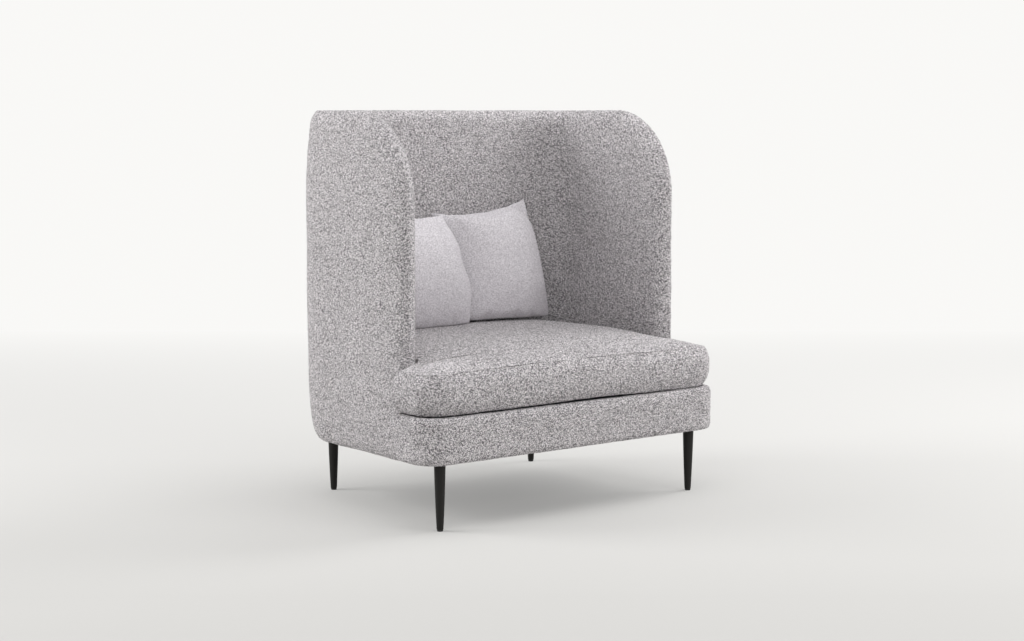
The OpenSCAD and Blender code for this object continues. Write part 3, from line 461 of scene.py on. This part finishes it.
def makeWall():
    # The wall is a flat sheet with round corners, bent to a U. Its two faces lie half the thickness to
    # each side of the sheet, and a half circle carried round the sheet's edge joins them. The cover is
    # pulled tight over the outer edge, so the outer face leans in there, less by e for each reach.
    low, high = wallLow, wallHigh
    half = wallForm["thickness"] / 2
    midRadius = wallForm["rearRadius"] - half
    backHalf = high[0] - wallForm["rearRadius"]
    turnY = high[1] - wallForm["rearRadius"]
    bottom, top = low[2] + half, high[2] - half
    arcLength = midRadius * math.pi / 2
    end = backHalf + arcLength + turnY - (low[1] + half)
    footRadius, topRadius = wallForm["footRadius"] - half, wallForm["topRadius"] - half

    def plan(along):
        # straight back, then a quarter arc, then a straight wing, the same on both sides
        side, far = np.sign(along), np.abs(along)
        turn = np.clip((far - backHalf) / midRadius, 0, math.pi / 2)
        straight = np.maximum(far - backHalf - arcLength, 0)
        place = np.stack([side * (np.minimum(far, backHalf) + midRadius * np.sin(turn)),
                          turnY + midRadius * np.cos(turn) - straight, 0 * far], -1)
        outward = np.stack([side * np.sin(turn), np.cos(turn), 0 * far], -1)
        onward = np.stack([np.cos(turn), -side * np.sin(turn), 0 * far], -1)
        return place, outward, onward

    # the sheet's right-hand edge: foot arc, upright, top arc, as places and outward directions, with
    # each quarter arc about 1.6 radii long
    step = wallForm["spacing"]
    footAngle = np.linspace(-math.pi / 2, 0, max(wallForm["fewestFoot"], int(footRadius * 1.6 / step) + 1))
    topAngle = np.linspace(0, math.pi / 2, int(topRadius * 1.6 / step) + 1)
    upright = np.linspace(bottom + footRadius, top - topRadius, int((top - bottom - topRadius) / step))
    edge = np.concatenate([
        np.stack([end - footRadius + footRadius * np.cos(footAngle),
                  bottom + footRadius + footRadius * np.sin(footAngle)], -1),
        np.stack([np.full(len(upright), end), upright], -1)[1:-1],
        np.stack([end - topRadius + topRadius * np.cos(topAngle),
                  top - topRadius + topRadius * np.sin(topAngle)], -1)])
    edgeOut = np.concatenate([
        np.stack([np.cos(footAngle), np.sin(footAngle)], -1),
        np.tile([1.0, 0.0], (len(upright) - 2, 1)),
        np.stack([np.cos(topAngle), np.sin(topAngle)], -1)])
    across = np.linspace(-1, 1, int(2 * end / step))
    sheetAlong = across[None, :] * edge[:, :1]
    sheetHigh = np.repeat(edge[:, 1:], len(across), axis=1)
    rows, columns = sheetAlong.shape
    place, outward, onward = plan(sheetAlong)
    place[..., 2] = sheetHigh
    depth = depthInSheet(sheetAlong, sheetHigh, end, bottom, top, footRadius, topRadius)
    lean = wallForm["lean"] * np.exp(-depth / wallForm["leanReach"])
    outer, inner = place + (half - lean)[..., None] * outward, place - half * outward

    # the sheet's whole edge, once round, then the half circle at each of its points
    ring = [(sheetAlong[0], sheetHigh[0], 0 * across, 0 * across - 1),
            (edge[1:, 0], edge[1:, 1], edgeOut[1:, 0], edgeOut[1:, 1]),
            (sheetAlong[-1, ::-1][1:], sheetHigh[-1, 1:], 0 * across[1:], 0 * across[1:] + 1),
            (-edge[::-1, 0][1:-1], edge[::-1, 1][1:-1], -edgeOut[::-1, 0][1:-1], edgeOut[::-1, 1][1:-1])]
    ringAlong, ringHigh, outAlong, outHigh = (np.concatenate([part[k] for part in ring]) for k in range(4))
    place, outward, onward = plan(ringAlong)
    place[:, 2] = ringHigh
    outwards = outAlong[:, None] * onward
    outwards[:, 2] += outHigh
    seamAngle = math.acos(1 - wallForm["seamFromOutside"] / half)
    angles = np.linspace(0, math.pi, wallForm["rimSteps"] + 1)
    nearSeam = seamAngle + np.array([-2.0, -1.0, 0.0, 1.0, 2.0]) * wallForm["seamWidth"] / half / 2
    clear = np.abs(angles - seamAngle) > wallForm["seamClear"]
    angles = np.sort(np.concatenate([angles[clear], nearSeam]))
    fromSeam = (angles - seamAngle) * half / wallForm["seamWidth"] * wallForm["seamSharp"]
    radius = half - wallForm["seamDepth"] * np.exp(-fromSeam ** 2)
    roundRim = (np.cos(angles)[None, :, None] * outward[:, None]
                + np.sin(angles)[None, :, None] * outwards[:, None])
    rim = place[:, None] + radius[None, :, None] * roundRim
    leanThere = wallForm["lean"] * np.exp(half * np.sin(angles) / wallForm["leanReach"])
    lean = leanThere * np.maximum(np.cos(angles), 0)
    rim = rim - lean[None, :, None] * outward[:, None]

    count = rows * columns
    points = np.concatenate([outer.reshape(-1, 3), inner.reshape(-1, 3), rim.reshape(-1, 3)])
    faces = np.concatenate([gridFaces(rows, columns), gridFaces(rows, columns, count)[:, ::-1],
                            gridFaces(len(ringAlong), len(angles), 2 * count, closedRows=True)])
    wall = meshPiece("wallPadding", points, faces, mergeWithin=wallForm["mergeWithin"])
    roughen(wall, wallForm["surface"])
    wall.data.materials.append(materials["coverCloth"])
    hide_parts("shell_inner_cover", "shell_outer_cover", "shell_outer_foam", "shell_inner_foam",
                "shell_edge_roll")
    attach(wall, "chair")
    return wall


wall = makeWall()
print("wall made,", len(wall.data.polygons), "faces")


baseForm = {"frontRadius": 0.084, "earRadius": 0.006, "neckRadius": 0.1077, "noseRadius": 0.004,
            "fit": 0.0003, "edgeRadius": 0.02, "lipUnder": 0.033, "lipOver": 0.0275,
            "clothThickness": 0.002, "insideRound": 0.3, "spacing": 0.0065, "upSpacing": 0.0062,
            "edgeSteps": 7, "surface": [(0.14, 0.0014, 13), (0.04, 0.0006, 14), (0.011, 0.0006, 15)]}


def seatCorners(low, high, form):
    # The T of the base and of the cushion, counterclockwise from its front right corner. It fits
    # between the wings' and the back's inner faces, and the ears fit in front of the wings.
    fit = form["fit"]
    neckX, rearY = (wallHigh[k] - wallForm["thickness"] - fit for k in (0, 1))
    right = [(high[0], low[1], form["frontRadius"]), (high[0], wallLow[1] - fit, form["earRadius"]),
             (neckX, wallLow[1] - fit, -form["noseRadius"]), (neckX, rearY, form["neckRadius"])]
    return right + [(-x, y, radius) for x, y, radius in right[::-1]]


def makeBase():
    # A section of the upholstered edge carried round the T: in under the rails, round the lower edge,
    # up the side, round the upper edge and in over the deck, then back one cloth's thickness inside.
    low, high = nodeBox("base_cover")
    corners = seatCorners(low, high, baseForm)
    radius, thin = baseForm["edgeRadius"], baseForm["clothThickness"]
    under, over = baseForm["lipUnder"], baseForm["lipOver"]
    angle = np.linspace(0, math.pi / 2, baseForm["edgeSteps"])
    height = high[2] - low[2]
    sideHeights = np.linspace(radius, height - radius, int((height - 2 * radius) / baseForm["upSpacing"]))
    lower = np.stack([radius - radius * np.sin(angle), radius - radius * np.cos(angle)], -1)
    upper = np.stack([radius - radius * np.cos(angle), height - radius + radius * np.sin(angle)], -1)
    side = np.stack([0 * sideHeights, sideHeights], -1)[1:-1]
    near = radius * baseForm["insideRound"]
    inside = [[over, height - thin], [thin + near, height - thin], [thin, height - near], [thin, near],
              [thin + near, thin], [under, thin]]
    section = np.concatenate([[[under, 0]], lower, side, upper, [[over, height]], inside])
    rings = []
    for inset, up in section:
        outline, _ = roundedOutline(corners, baseForm["spacing"], inset)
        rings.append(np.column_stack([outline, np.full(len(outline), low[2] + up)]))
    points = np.concatenate(rings)
    faces = gridFaces(len(rings), len(rings[0]), closedRows=True, closedColumns=True)
    base = meshPiece("baseCover", points, faces)
    roughen(base, baseForm["surface"])
    base.data.materials.append(materials["coverCloth"])
    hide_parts("base_cover", "base_foam")
    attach(base, "chair")
    return base


base = makeBase()
print("base made,", len(base.data.polygons), "faces")


cushionForm = {"frontRadius": 0.084, "earRadius": 0.011, "noseRadius": 0.0425, "neckRadius": 0.1065,
               "fit": 0.0015, "border": 0.124, "crown": 0.054, "crownReach": 0.7, "crownPower": 4,
               "draw": 0.013, "drawPower": 3.2, "spacing": 0.0144, "start": 0.004, "bulge": 0.004,
               "earBulge": 0.009, "earReach": 0.05, "freeAcross": (0.5, 0.545), "freeAhead": (0.25, 0.32),
               "wingsAhead": (-0.04, 0.1), "pressed": 0.9, "tuck": 0.012, "tuckReach": 0.07,
               "tuckPower": 5, "seamDepth": 0.0034, "seamWander": 0.0022, "wanderCell": 0.055,
               "wanderPower": 6, "wanderSeed": 31, "nearSeam": (0.0012, 0.003, 0.007, 0.014),
               "pastSeam": (0.024, 0.036), "middleFromFront": 0.11, "bottomRings": (0.05, 16),
               "borderRings": 11, "topRings": (0.04, 34), "pressure": 4.0, "frames": 18,
               "mostSwell": 0.0055, "offSeat": 0.0002, "room": 0.008, "underPillows": (0.02, 0.12),
               "surface": [(0.12, 0.0022, 23), (0.035, 0.0008, 24), (0.012, 0.0005, 25)]}
cushionCorners = seatCorners(cushionLow, cushionHigh, cushionForm)
neckX, rearY = cushionCorners[3][:2]
zipForm = {"margin": 0.02, "above": 0.002, "beside": 0.004, "behind": 0.0006, "reach": 0.02}


def crownAt(x, y):
    # rises from the front edge and from both ends to a level middle, as one less a fourth power
    reach = (cushionHigh[1] - cushionLow[1]) * cushionForm["crownReach"]
    across = np.minimum(np.abs(x) / cushionHigh[0], 1)
    ahead = np.clip((cushionLow[1] + reach - y) / reach, 0, 1)
    power = cushionForm["crownPower"]
    return cushionForm["crown"] * (1 - across ** power) * (1 - ahead ** power)


def raised(plan, share):
    # places in plan, lifted to a share of the cushion's height there: the border's and the crown's
    start = cushionForm["start"]
    up = cushionForm["border"] + crownAt(plan[:, 0], plan[:, 1]) - 2 * start
    return np.column_stack([plan, cushionLow[2] + start + share * up])


def seamRing(inset, height):
    # One ring of the cushion at an inset and a share of its height. It bulges between the seams as a
    # parabola of the height where it is free, is pressed flat beside the wings, tucks in under the front
    # corners as a bell curve of the distance from them, and waves a little near the top seam.
    form = cushionForm
    ring, outward = roundedOutline(cushionCorners, form["spacing"], inset)
    far, ahead = np.abs(ring[:, 0]), -ring[:, 1]
    free = np.maximum(smoothStep(far, *form["freeAcross"]), smoothStep(ahead, *form["freeAhead"]))
    ear = np.hypot(far - cushionHigh[0], ring[:, 1] - cushionCorners[1][1]) / form["earReach"]
    bulge = (form["bulge"] * free + form["earBulge"] * np.exp(-ear ** 2)) * (1 - (2 * height - 1) ** 2)
    besideWings = (1 - free) * smoothStep(ahead, *form["wingsAhead"])
    pressed = form["pressed"] * besideWings * min(inset, form["draw"] + form["start"])
    corner = np.hypot(far - cushionHigh[0], ring[:, 1] - cushionLow[1]) / form["tuckReach"]
    tuck = form["tuck"] * np.exp(-corner ** 2) * (1 - height) ** form["tuckPower"]
    points = raised(ring + outward * (bulge + pressed - tuck)[:, None], height)
    wave = form["seamWander"] * latticeNoise(points * (1, 1, 0), form["wanderCell"], form["wanderSeed"])
    points[:, 2] += np.where(height < 1, wave * height ** form["wanderPower"], 0)
    return points


def ringFaces(rows, count):
    # quads between rings of the same count, and a fan at each end to one of the last two points
    k = np.arange(count)
    last, ends = (rows - 1) * count, rows * count
    return (gridFaces(rows, count, closedColumns=True).tolist()
            + np.stack([np.full(count, ends), (k + 1) % count, k], -1).tolist()
            + np.stack([np.full(count, ends + 1), last + k, last + (k + 1) % count], -1).tolist())


def finerRings(points, rows, count):
    # a new point halfway along each edge, on the cubic through the four points nearest to it
    rings, ends = points[:rows * count].reshape(rows, count, 3), points[rows * count:]
    before, after, further = (np.roll(rings, step, axis=1) for step in (1, -1, -2))
    halfway = (9 * (rings + after) - before - further) / 16
    wide = np.stack([rings, halfway], axis=2).reshape(rows, 2 * count, 3)
    padded = np.concatenate([wide[:1], wide, wide[-1:]])
    tall = np.empty((2 * rows - 1, 2 * count, 3))
    tall[::2] = wide
    tall[1::2] = (9 * (padded[1:-2] + padded[2:-1]) - padded[:-3] - padded[3:]) / 16
    return np.concatenate([tall.reshape(-1, 3), ends])


def makeCushion():
    # Rings round the T: out over the bottom, up the border, which draws in at both seams, and in over
    # the crown, close together beside each seam. The middle is reached by rings scaled towards it.
    form = cushionForm
    middle = np.array([0.0, cushionLow[1] + form["middleFromFront"]])
    inwards = form["nearSeam"] + form["pastSeam"]
    edge = form["draw"] + form["start"]

    def scaled(ring, share, height):
        return raised(middle + (ring[:, :2] - middle) * share, height)

    lastBottom = seamRing(edge + inwards[-1], 0)
    innermost, steps = form["bottomRings"]
    rings = [scaled(lastBottom, share, 0) for share in np.linspace(innermost, 1, steps)[:-1]]
    rings += [seamRing(edge + inset, 0) for inset in inwards[::-1]]
    bottomSeam = len(rings)
    near = np.array(form["nearSeam"]) / form["border"]
    between = np.linspace(near[-1], 1 - near[-1], form["borderRings"])[1:-1]
    for height in np.concatenate([[0], near, between, 1 - near[::-1], [1]]):
        inset = form["draw"] * abs(2 * height - 1) ** form["drawPower"] + form["start"]
        rings.append(seamRing(inset, height))
    topSeam = len(rings) - 1
    rings += [seamRing(edge + inset, 1) for inset in inwards]
    lastTop = rings[-1]
    innermost, steps = form["topRings"]
    rings += [scaled(lastTop, share, 1) for share in np.linspace(1, innermost, steps)[1:]]
    bottom, top = cushionLow[2] + form["start"], cushionLow[2] + form["border"] - form["start"]
    ends = np.array([[*middle, bottom], [*middle, top + crownAt(*middle)]])
    count = len(rings[0])
    blank = meshPiece("cushionBlank", np.concatenate(rings + [ends]), ringFaces(len(rings), count))
    return blank, len(rings), count, (bottomSeam, topSeam)


clothSettings = {"quality": 5, "mass": 0.4, "tension_stiffness": 20, "compression_stiffness": 20,
                 "shear_stiffness": 8, "bending_stiffness": 0.6, "use_pressure": True}


def swell(piece, form):
    # Blender's cloth blown up from inside without gravity, then each point moved no further than allowed
    cloth = piece.modifiers.new("Cloth", "CLOTH")
    for label, value in clothSettings.items():
        setattr(cloth.settings, label, value)
    cloth.settings.uniform_pressure_force = form["pressure"]
    cloth.settings.effector_weights.gravity = 0
    cloth.collision_settings.use_collision = False
    cloth.point_cache.frame_start = 1
    cloth.point_cache.frame_end = form["frames"]
    before = pointsOf(piece)
    for step in range(1, form["frames"] + 1):
        scene.frame_set(step)
    shaped = piece.evaluated_get(bpy.context.evaluated_depsgraph_get()).to_mesh()
    after = np.empty(len(shaped.vertices) * 3)
    shaped.vertices.foreach_get("co", after)
    piece.to_mesh_clear()
    piece.modifiers.clear()
    scene.frame_set(1)
    moved = after.reshape(-1, 3) - before
    length = np.linalg.norm(moved, axis=1, keepdims=True)
    setPoints(piece, before + moved * np.minimum(1, form["mostSwell"] / np.maximum(length, 1e-9)))


def keepCushionClear(points):
    # The cushion gives way to the wings' round front edges, to the wall beside and behind it, to the
    # seat under it and to the pillows on it.
    side, far, y, z = np.sign(points[:, 0]), np.abs(points[:, 0]), points[:, 1], points[:, 2]
    radius, rearRound = cushionForm["noseRadius"], cushionForm["neckRadius"]
    noseX, noseY = neckX + radius, cushionCorners[1][1] + radius
    far = np.where(y > noseY, np.minimum(far, neckX), far)
    y = np.minimum(y, np.where(far < noseX, rearY, noseY))
    away = np.maximum(np.hypot(far - noseX, y - noseY), 1e-6)
    push = np.where((y < noseY) & (away < radius), radius / away, 1)
    far, y = noseX + (far - noseX) * push, noseY + (y - noseY) * push
    overX, overY = far - (neckX - rearRound), y - (rearY - rearRound)
    away = np.maximum(np.hypot(overX, overY), 1e-6)
    pull = np.where((overX > 0) & (overY > 0) & (away > rearRound), rearRound / away, 1)
    far, y = neckX - rearRound + overX * pull, rearY - rearRound + overY * pull
    top = cushionLow[2] + cushionForm["border"] + crownAt(far, y)
    room = cushionForm["room"] * (1 - smoothStep(y, *cushionForm["underPillows"]))
    return np.stack([side * far, y, np.clip(z, cushionLow[2] + cushionForm["offSeat"], top + room)], -1)


def sinkZip(points):
    # the border draws in to a shallow channel that ends behind the zip's tape, fading out around it
    low, high = nodeBox("cushion_zip")
    x, y, z = points.T
    middle, halfHeight = (low[2] + high[2]) / 2, (high[2] - low[2]) / 2
    margin = zipForm["margin"]
    near = 1 - smoothStep(np.abs(z - middle), halfHeight + zipForm["above"], halfHeight + margin)
    within = 1 - smoothStep(np.abs(x), high[0] + zipForm["beside"], high[0] + 2 * margin)
    deepest = low[1] - zipForm["behind"]
    sunk = y + (np.minimum(y, deepest) - y) * near * within
    return np.stack([x, np.where(y > deepest - zipForm["reach"], sunk, y), z], -1)


def finishCushion(blank, rows, count, seams):
    # swells the blank, draws both seams in, then makes it finer and clears its neighbours again
    swell(blank, cushionForm)
    setPoints(blank, keepCushionClear(pointsOf(blank)))
    groove = np.zeros(rows * count + 2)
    for seam in seams:
        groove[seam * count:(seam + 1) * count] = -cushionForm["seamDepth"]
    moveAlongNormals(blank, groove)
    points = finerRings(pointsOf(blank), rows, count)
    cushion = meshPiece("seatCushion", points, ringFaces(2 * rows - 1, 2 * count))
    bpy.data.meshes.remove(blank.data)
    roughen(cushion, cushionForm["surface"])
    setPoints(cushion, sinkZip(keepCushionClear(pointsOf(cushion))))
    cushion.data.materials.append(materials["coverCloth"])
    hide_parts("cushion_cover")
    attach(cushion, "cushion")
    return cushion


cushion = finishCushion(*makeCushion())
print("cushion made,", len(cushion.data.polygons), "faces")


pillowForm = {"side": 0.415, "thickness": 0.150, "fullness": 0.52, "thinnest": 0.002, "ridge": 0.35,
              "bend": 0.034, "draw": 0.016, "cells": 84, "closer": 0.35, "start": 0.004,
              "pressure": 4.0, "frames": 16, "mostSwell": 0.006, "seat": 0.0003, "onCrown": 0.93,
              "wallGap": 0.006, "partingShare": -0.16, "partingSlope": -0.75, "partingSoft": 0.014,
              "edgeWave": 0.0035, "edgeCells": (0.21, 0.23), "edgePower": 10, "mergeWithin": 0.00002,
              "surface": [(0.09, 0.0028, 41), (0.03, 0.0009, 42)]}
pillowPlaces = {
    # corners are shares of the side: lower left, lower right, upper right, upper left. A crease runs
    # from one place on the front to another, with its width there and its depth in metres
    "pillowLeft": {"node": "pillow_left", "body": "left_pillow", "seed": 5,
                   "corners": [(-0.5, -0.01), (0.52, 0.02), (0.31, 0.87), (-0.56, 0.9)],
                   "draws": (0.016, -0.015), "middle": (-0.37, 0.63), "turn": -9, "lean": 4,
                   "creases": [((0.25, -1.0), (0.32, -0.72), 0.06, 0.006),
                               ((0.62, -1.0), (0.6, -0.78), 0.06, 0.005),
                               ((-0.2, -1.0), (-0.15, -0.75), 0.07, 0.005)], "dogEar": None},
    "pillowRight": {"node": "pillow_right", "body": "right_pillow", "seed": 9,
                    "corners": [(-0.5, 0.0), (0.51, 0.0), (0.3, 0.98), (-0.6, 0.88)],
                    "draws": (0.016, 0.016), "middle": (0.43, 0.47), "turn": 0, "lean": 3,
                    "creases": [((-0.76, 0.9), (-0.5, 0.32), 0.05, 0.006),
                                ((-0.66, 0.86), (-0.58, 0.36), 0.045, 0.005),
                                ((0.42, 1.0), (1.0, 0.4), 0.03, 0.004),
                                ((-0.45, -1.0), (-0.4, -0.75), 0.06, 0.006),
                                ((0.1, -1.0), (0.14, -0.76), 0.07, 0.005),
                                ((0.5, -1.0), (0.46, -0.78), 0.06, 0.004)],
                    "dogEar": {"tilt": 0.94, "line": 1.4, "width": 0.08, "kept": 0.1}},
}


def pillowGrid():
    # two square sheets of cloth that share their edge: u and v run from -1 to 1, closer at the edge
    n, closer = pillowForm["cells"] + 1, pillowForm["closer"]
    line = np.linspace(-1, 1, n)
    line = np.sin(line * math.pi / 2) * closer + line * (1 - closer)
    v, u = np.meshgrid(line, line, indexing="ij")
    return n, u.ravel(), v.ravel()


def pillowSheets(name, u, v):
    # Half thicknesses of the front and the back: a power of the distance from the edges. Creases press
    # into the front as bell curves along a line, and past a dog ear's line the filling is gone.
    half = 0.5 * np.maximum((1 - u * u) * (1 - v * v), 0) ** pillowForm["fullness"]
    depth = pillowForm["thickness"] - 2 * pillowForm["start"]
    front, back = half * depth, half * depth
    for start, end, width, deep in pillowPlaces[name]["creases"]:
        start, run = np.array(start), np.array(end) - np.array(start)
        t = np.clip(((u - start[0]) * run[0] + (v - start[1]) * run[1]) / (run @ run), 0, 1)
        away = np.hypot(u - start[0] - t * run[0], v - start[1] - t * run[1]) / width
        pressed = np.exp(-away ** 2) - pillowForm["ridge"] * np.exp(-(away - 2) ** 2)
        front = front - deep * pressed * (1 - t * t)
    ear = pillowPlaces[name]["dogEar"]
    if ear:
        past = (ear["tilt"] * u + v - ear["line"]) / math.hypot(ear["tilt"], 1)
        front = front * (1 - (1 - ear["kept"]) * smoothStep(past, 0, ear["width"]))
    return np.where(half > 0, np.maximum(front, pillowForm["thinnest"] * half), 0), back


def wallFace(x):
    # the wall's inner face, as a place in depth: straight, then round in the rear corners
    turnX, turnY = wallHigh[0] - wallForm["rearRadius"], wallHigh[1] - wallForm["rearRadius"]
    radius = wallForm["rearRadius"] - wallForm["thickness"]
    reach = np.maximum(np.abs(x) - turnX, 0)
    return turnY + np.sqrt(np.maximum(radius ** 2 - reach ** 2, 0))


def placePillow(name, u, half, v):
    # bends the square pillow to its slumped corners, leans it back and turns it to its place
    place, form = pillowPlaces[name], pillowForm
    corners = np.array(place["corners"]) * form["side"]
    low = corners[0] * (1 - u)[:, None] / 2 + corners[1] * (1 + u)[:, None] / 2
    high = corners[3] * (1 - u)[:, None] / 2 + corners[2] * (1 + u)[:, None] / 2
    flat = low * (1 - v)[:, None] / 2 + high * (1 + v)[:, None] / 2
    draw = np.where(u < 0, place["draws"][0], place["draws"][1])
    x = flat[:, 0] - u * draw * (1 - v * v)
    z = flat[:, 1] - v * form["draw"] * (1 - u * u) * np.where(v < 0, 1 + v, 1)
    atSides, atEnds = np.abs(u) ** form["edgePower"], np.maximum(v, 0) ** form["edgePower"]
    line = np.stack([u, v, 0 * u], -1)
    sideCell, endCell = form["edgeCells"]
    x = x + form["edgeWave"] * atSides * latticeNoise(line * (0, 1, 0), sideCell, place["seed"])
    z = z + form["edgeWave"] * atEnds * latticeNoise(line * (1, 0, 0), endCell, place["seed"] + 1)
    y = half + form["bend"] * (u * v) ** 2
    lean, turn = math.radians(place["lean"]), math.radians(place["turn"])
    y, z = y * math.cos(lean) + z * math.sin(lean), z * math.cos(lean) - y * math.sin(lean)
    x, y = x * math.cos(turn) - y * math.sin(turn), x * math.sin(turn) + y * math.cos(turn)
    across, ahead = place["middle"]
    return np.stack([x + across * neckX, y + rearY - ahead * form["thickness"],
                     z + cushionLow[2] + cushionForm["border"]
                     + form["onCrown"] * cushionForm["crown"]], -1)


def pressPillow(points, name):
    # The pillow gives way to the wall behind, the seat below and the upright plane between the two. The
    # right one rolls softly up to that plane: past it by s ln(1 + e^(d/s)), where it was past it by d.
    x, y, z = points.T
    gap, soft = pillowForm["seat"], pillowForm["partingSoft"]
    y = np.minimum(y, wallFace(x) - pillowForm["wallGap"])
    parting = rearY + (x - pillowForm["partingShare"] * neckX) * pillowForm["partingSlope"]
    if name == "pillowLeft":
        y = np.minimum(y, parting - gap)
    else:
        y = parting + gap + soft * np.logaddexp(0, (y - parting - gap) / soft)
    seat = cushionLow[2] + cushionForm["border"] + crownAt(x, y)
    return np.stack([x, y, np.maximum(z, seat + gap)], -1)


def makePillow(name):
    place = pillowPlaces[name]
    n, u, v = pillowGrid()
    front, back = pillowSheets(name, u, v)
    points = np.concatenate([placePillow(name, u, half, v) for half in (-front, back)])
    faces = np.concatenate([gridFaces(n, n), gridFaces(n, n, n * n)[:, ::-1]])
    piece = meshPiece(name, pressPillow(points, name), faces, mergeWithin=pillowForm["mergeWithin"])
    swell(piece, pillowForm)
    finer = piece.modifiers.new("Subdivision", "SUBSURF")
    finer.levels = finer.render_levels = 1
    applyModifiers(piece)
    roughen(piece, pillowForm["surface"])
    setPoints(piece, pressPillow(pointsOf(piece), name))
    piece.data.materials.append(materials["pillowCloth"])
    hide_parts(place["node"])
    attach(piece, place["body"])
    return piece


for pillowName in pillowPlaces:
    pillow = makePillow(pillowName)
    print(pillowName, "made,", len(pillow.data.polygons), "faces")


studio = {"floorColour": (0.585, 0.578, 0.562, 1), "floorHalf": 30.0, "floorRoughness": 0.85,
          "floorShine": 0.1, "backdrop": (0.948, 0.942, 0.925, 1), "fadeFrom": -1.3, "fadeTo": 4.4,
          "fadePower": 0.85, "ringFrom": 3.4, "ringTo": 6.8, "world": 0.45}
lamps = {
    # name: place, aim, width, height, watts
    "keyRight": ((4.0, -0.85, 2.9), (0, 0, 0.5), 2.4, 2.4, 122),
    "topSoft": ((-0.7, -1.1, 4.4), (0, 0, 0.5), 3.8, 3.8, 64),
    "leftFill": ((-4.0, 2.6, 2.9), (0, 0, 0.6), 2.6, 2.6, 168),
    "frontFill": ((1.9, -5.4, 2.6), (0, 0, 0.5), 3.2, 3.2, 92),
}


def seenRays(tree):
    # 1 for the rays that show a surface, straight or in a mirror or through glass, and 0 for the rest
    rays = addNode(tree, "LightPath").outputs
    seen = calc(tree, "ADD", rays["Is Camera Ray"], rays["Is Glossy Ray"])
    return calc(tree, "ADD", seen, rays["Is Transmission Ray"], clamp=True)


def mixShaders(tree, share, first, second, outputName):
    mix = addNode(tree, "MixShader", {0: share, 1: first.outputs[0], 2: second.outputs[0]})
    plug(tree, tree.nodes[outputName], {"Surface": mix.outputs[0]})


def fadeShare(tree, distance, start, end):
    # 0 up to the start, 1 past the end, and even between them
    return calc(tree, "DIVIDE", calc(tree, "SUBTRACT", distance, start), end - start, clamp=True)


def makeFloor():
    # One wide sheet, whose far part turns to the backdrop's own colour for the camera: early behind the
    # chair as the photo's camera sees it, and all round it further out.
    size = studio["floorHalf"]
    points = np.array([[-size, -size, 0], [size, -size, 0], [size, size, 0], [-size, size, 0]])
    floor = meshPiece("floor", points, [[0, 1, 2, 3]])
    material, tree, shader = nodeMaterial("studioFloor")
    plug(tree, shader, {"Base Color": studio["floorColour"], "Roughness": studio["floorRoughness"],
                        "Specular IOR Level": studio["floorShine"]})
    glow = addNode(tree, "Emission", {"Color": studio["backdrop"]})
    place = objectPlace(tree)
    turn = math.radians(cameraView["turn"])
    along = vectorStep(tree, "DOT_PRODUCT", place, (-math.sin(turn), math.cos(turn), 0))["Value"]
    far = fadeShare(tree, along, studio["fadeFrom"], studio["fadeTo"])
    far = calc(tree, "POWER", far, studio["fadePower"])
    ring = fadeShare(tree, vectorStep(tree, "LENGTH", place)["Value"], studio["ringFrom"], studio["ringTo"])
    far = calc(tree, "MAXIMUM", far, ring)
    mixShaders(tree, calc(tree, "MULTIPLY", far, seenRays(tree)), shader, glow, "Material Output")
    floor.data.materials.append(material)


def makeWorld():
    # dim white light for the chair, and the backdrop's own colour where the camera sees past it
    scene.world = bpy.data.worlds.new("studio")
    scene.world.use_nodes = True
    tree = scene.world.node_tree
    fill = tree.nodes["Background"]
    plug(tree, fill, {0: (1, 1, 1, 1), 1: studio["world"]})
    shown = addNode(tree, "Background", {0: studio["backdrop"], 1: 1})
    mixShaders(tree, seenRays(tree), fill, shown, "World Output")


def makeLamp(name):
    place, aim, width, height, watts = lamps[name]
    light = bpy.data.lights.new(name, "AREA")
    light.shape = "RECTANGLE"
    light.size, light.size_y = width, height
    light.energy = watts
    lamp = bpy.data.objects.new(name, light)
    lamp.location = place
    towards = np.array(aim) - np.array(place)
    pitch = math.atan2(math.hypot(towards[0], towards[1]), -towards[2])
    lamp.rotation_euler = (pitch, 0, math.atan2(towards[1], towards[0]) - math.pi / 2)
    scene.collection.objects.link(lamp)


makeFloor()
makeWorld()
for lampName in lamps:
    makeLamp(lampName)
scene.view_settings.view_transform = "Standard"
print("studio made")
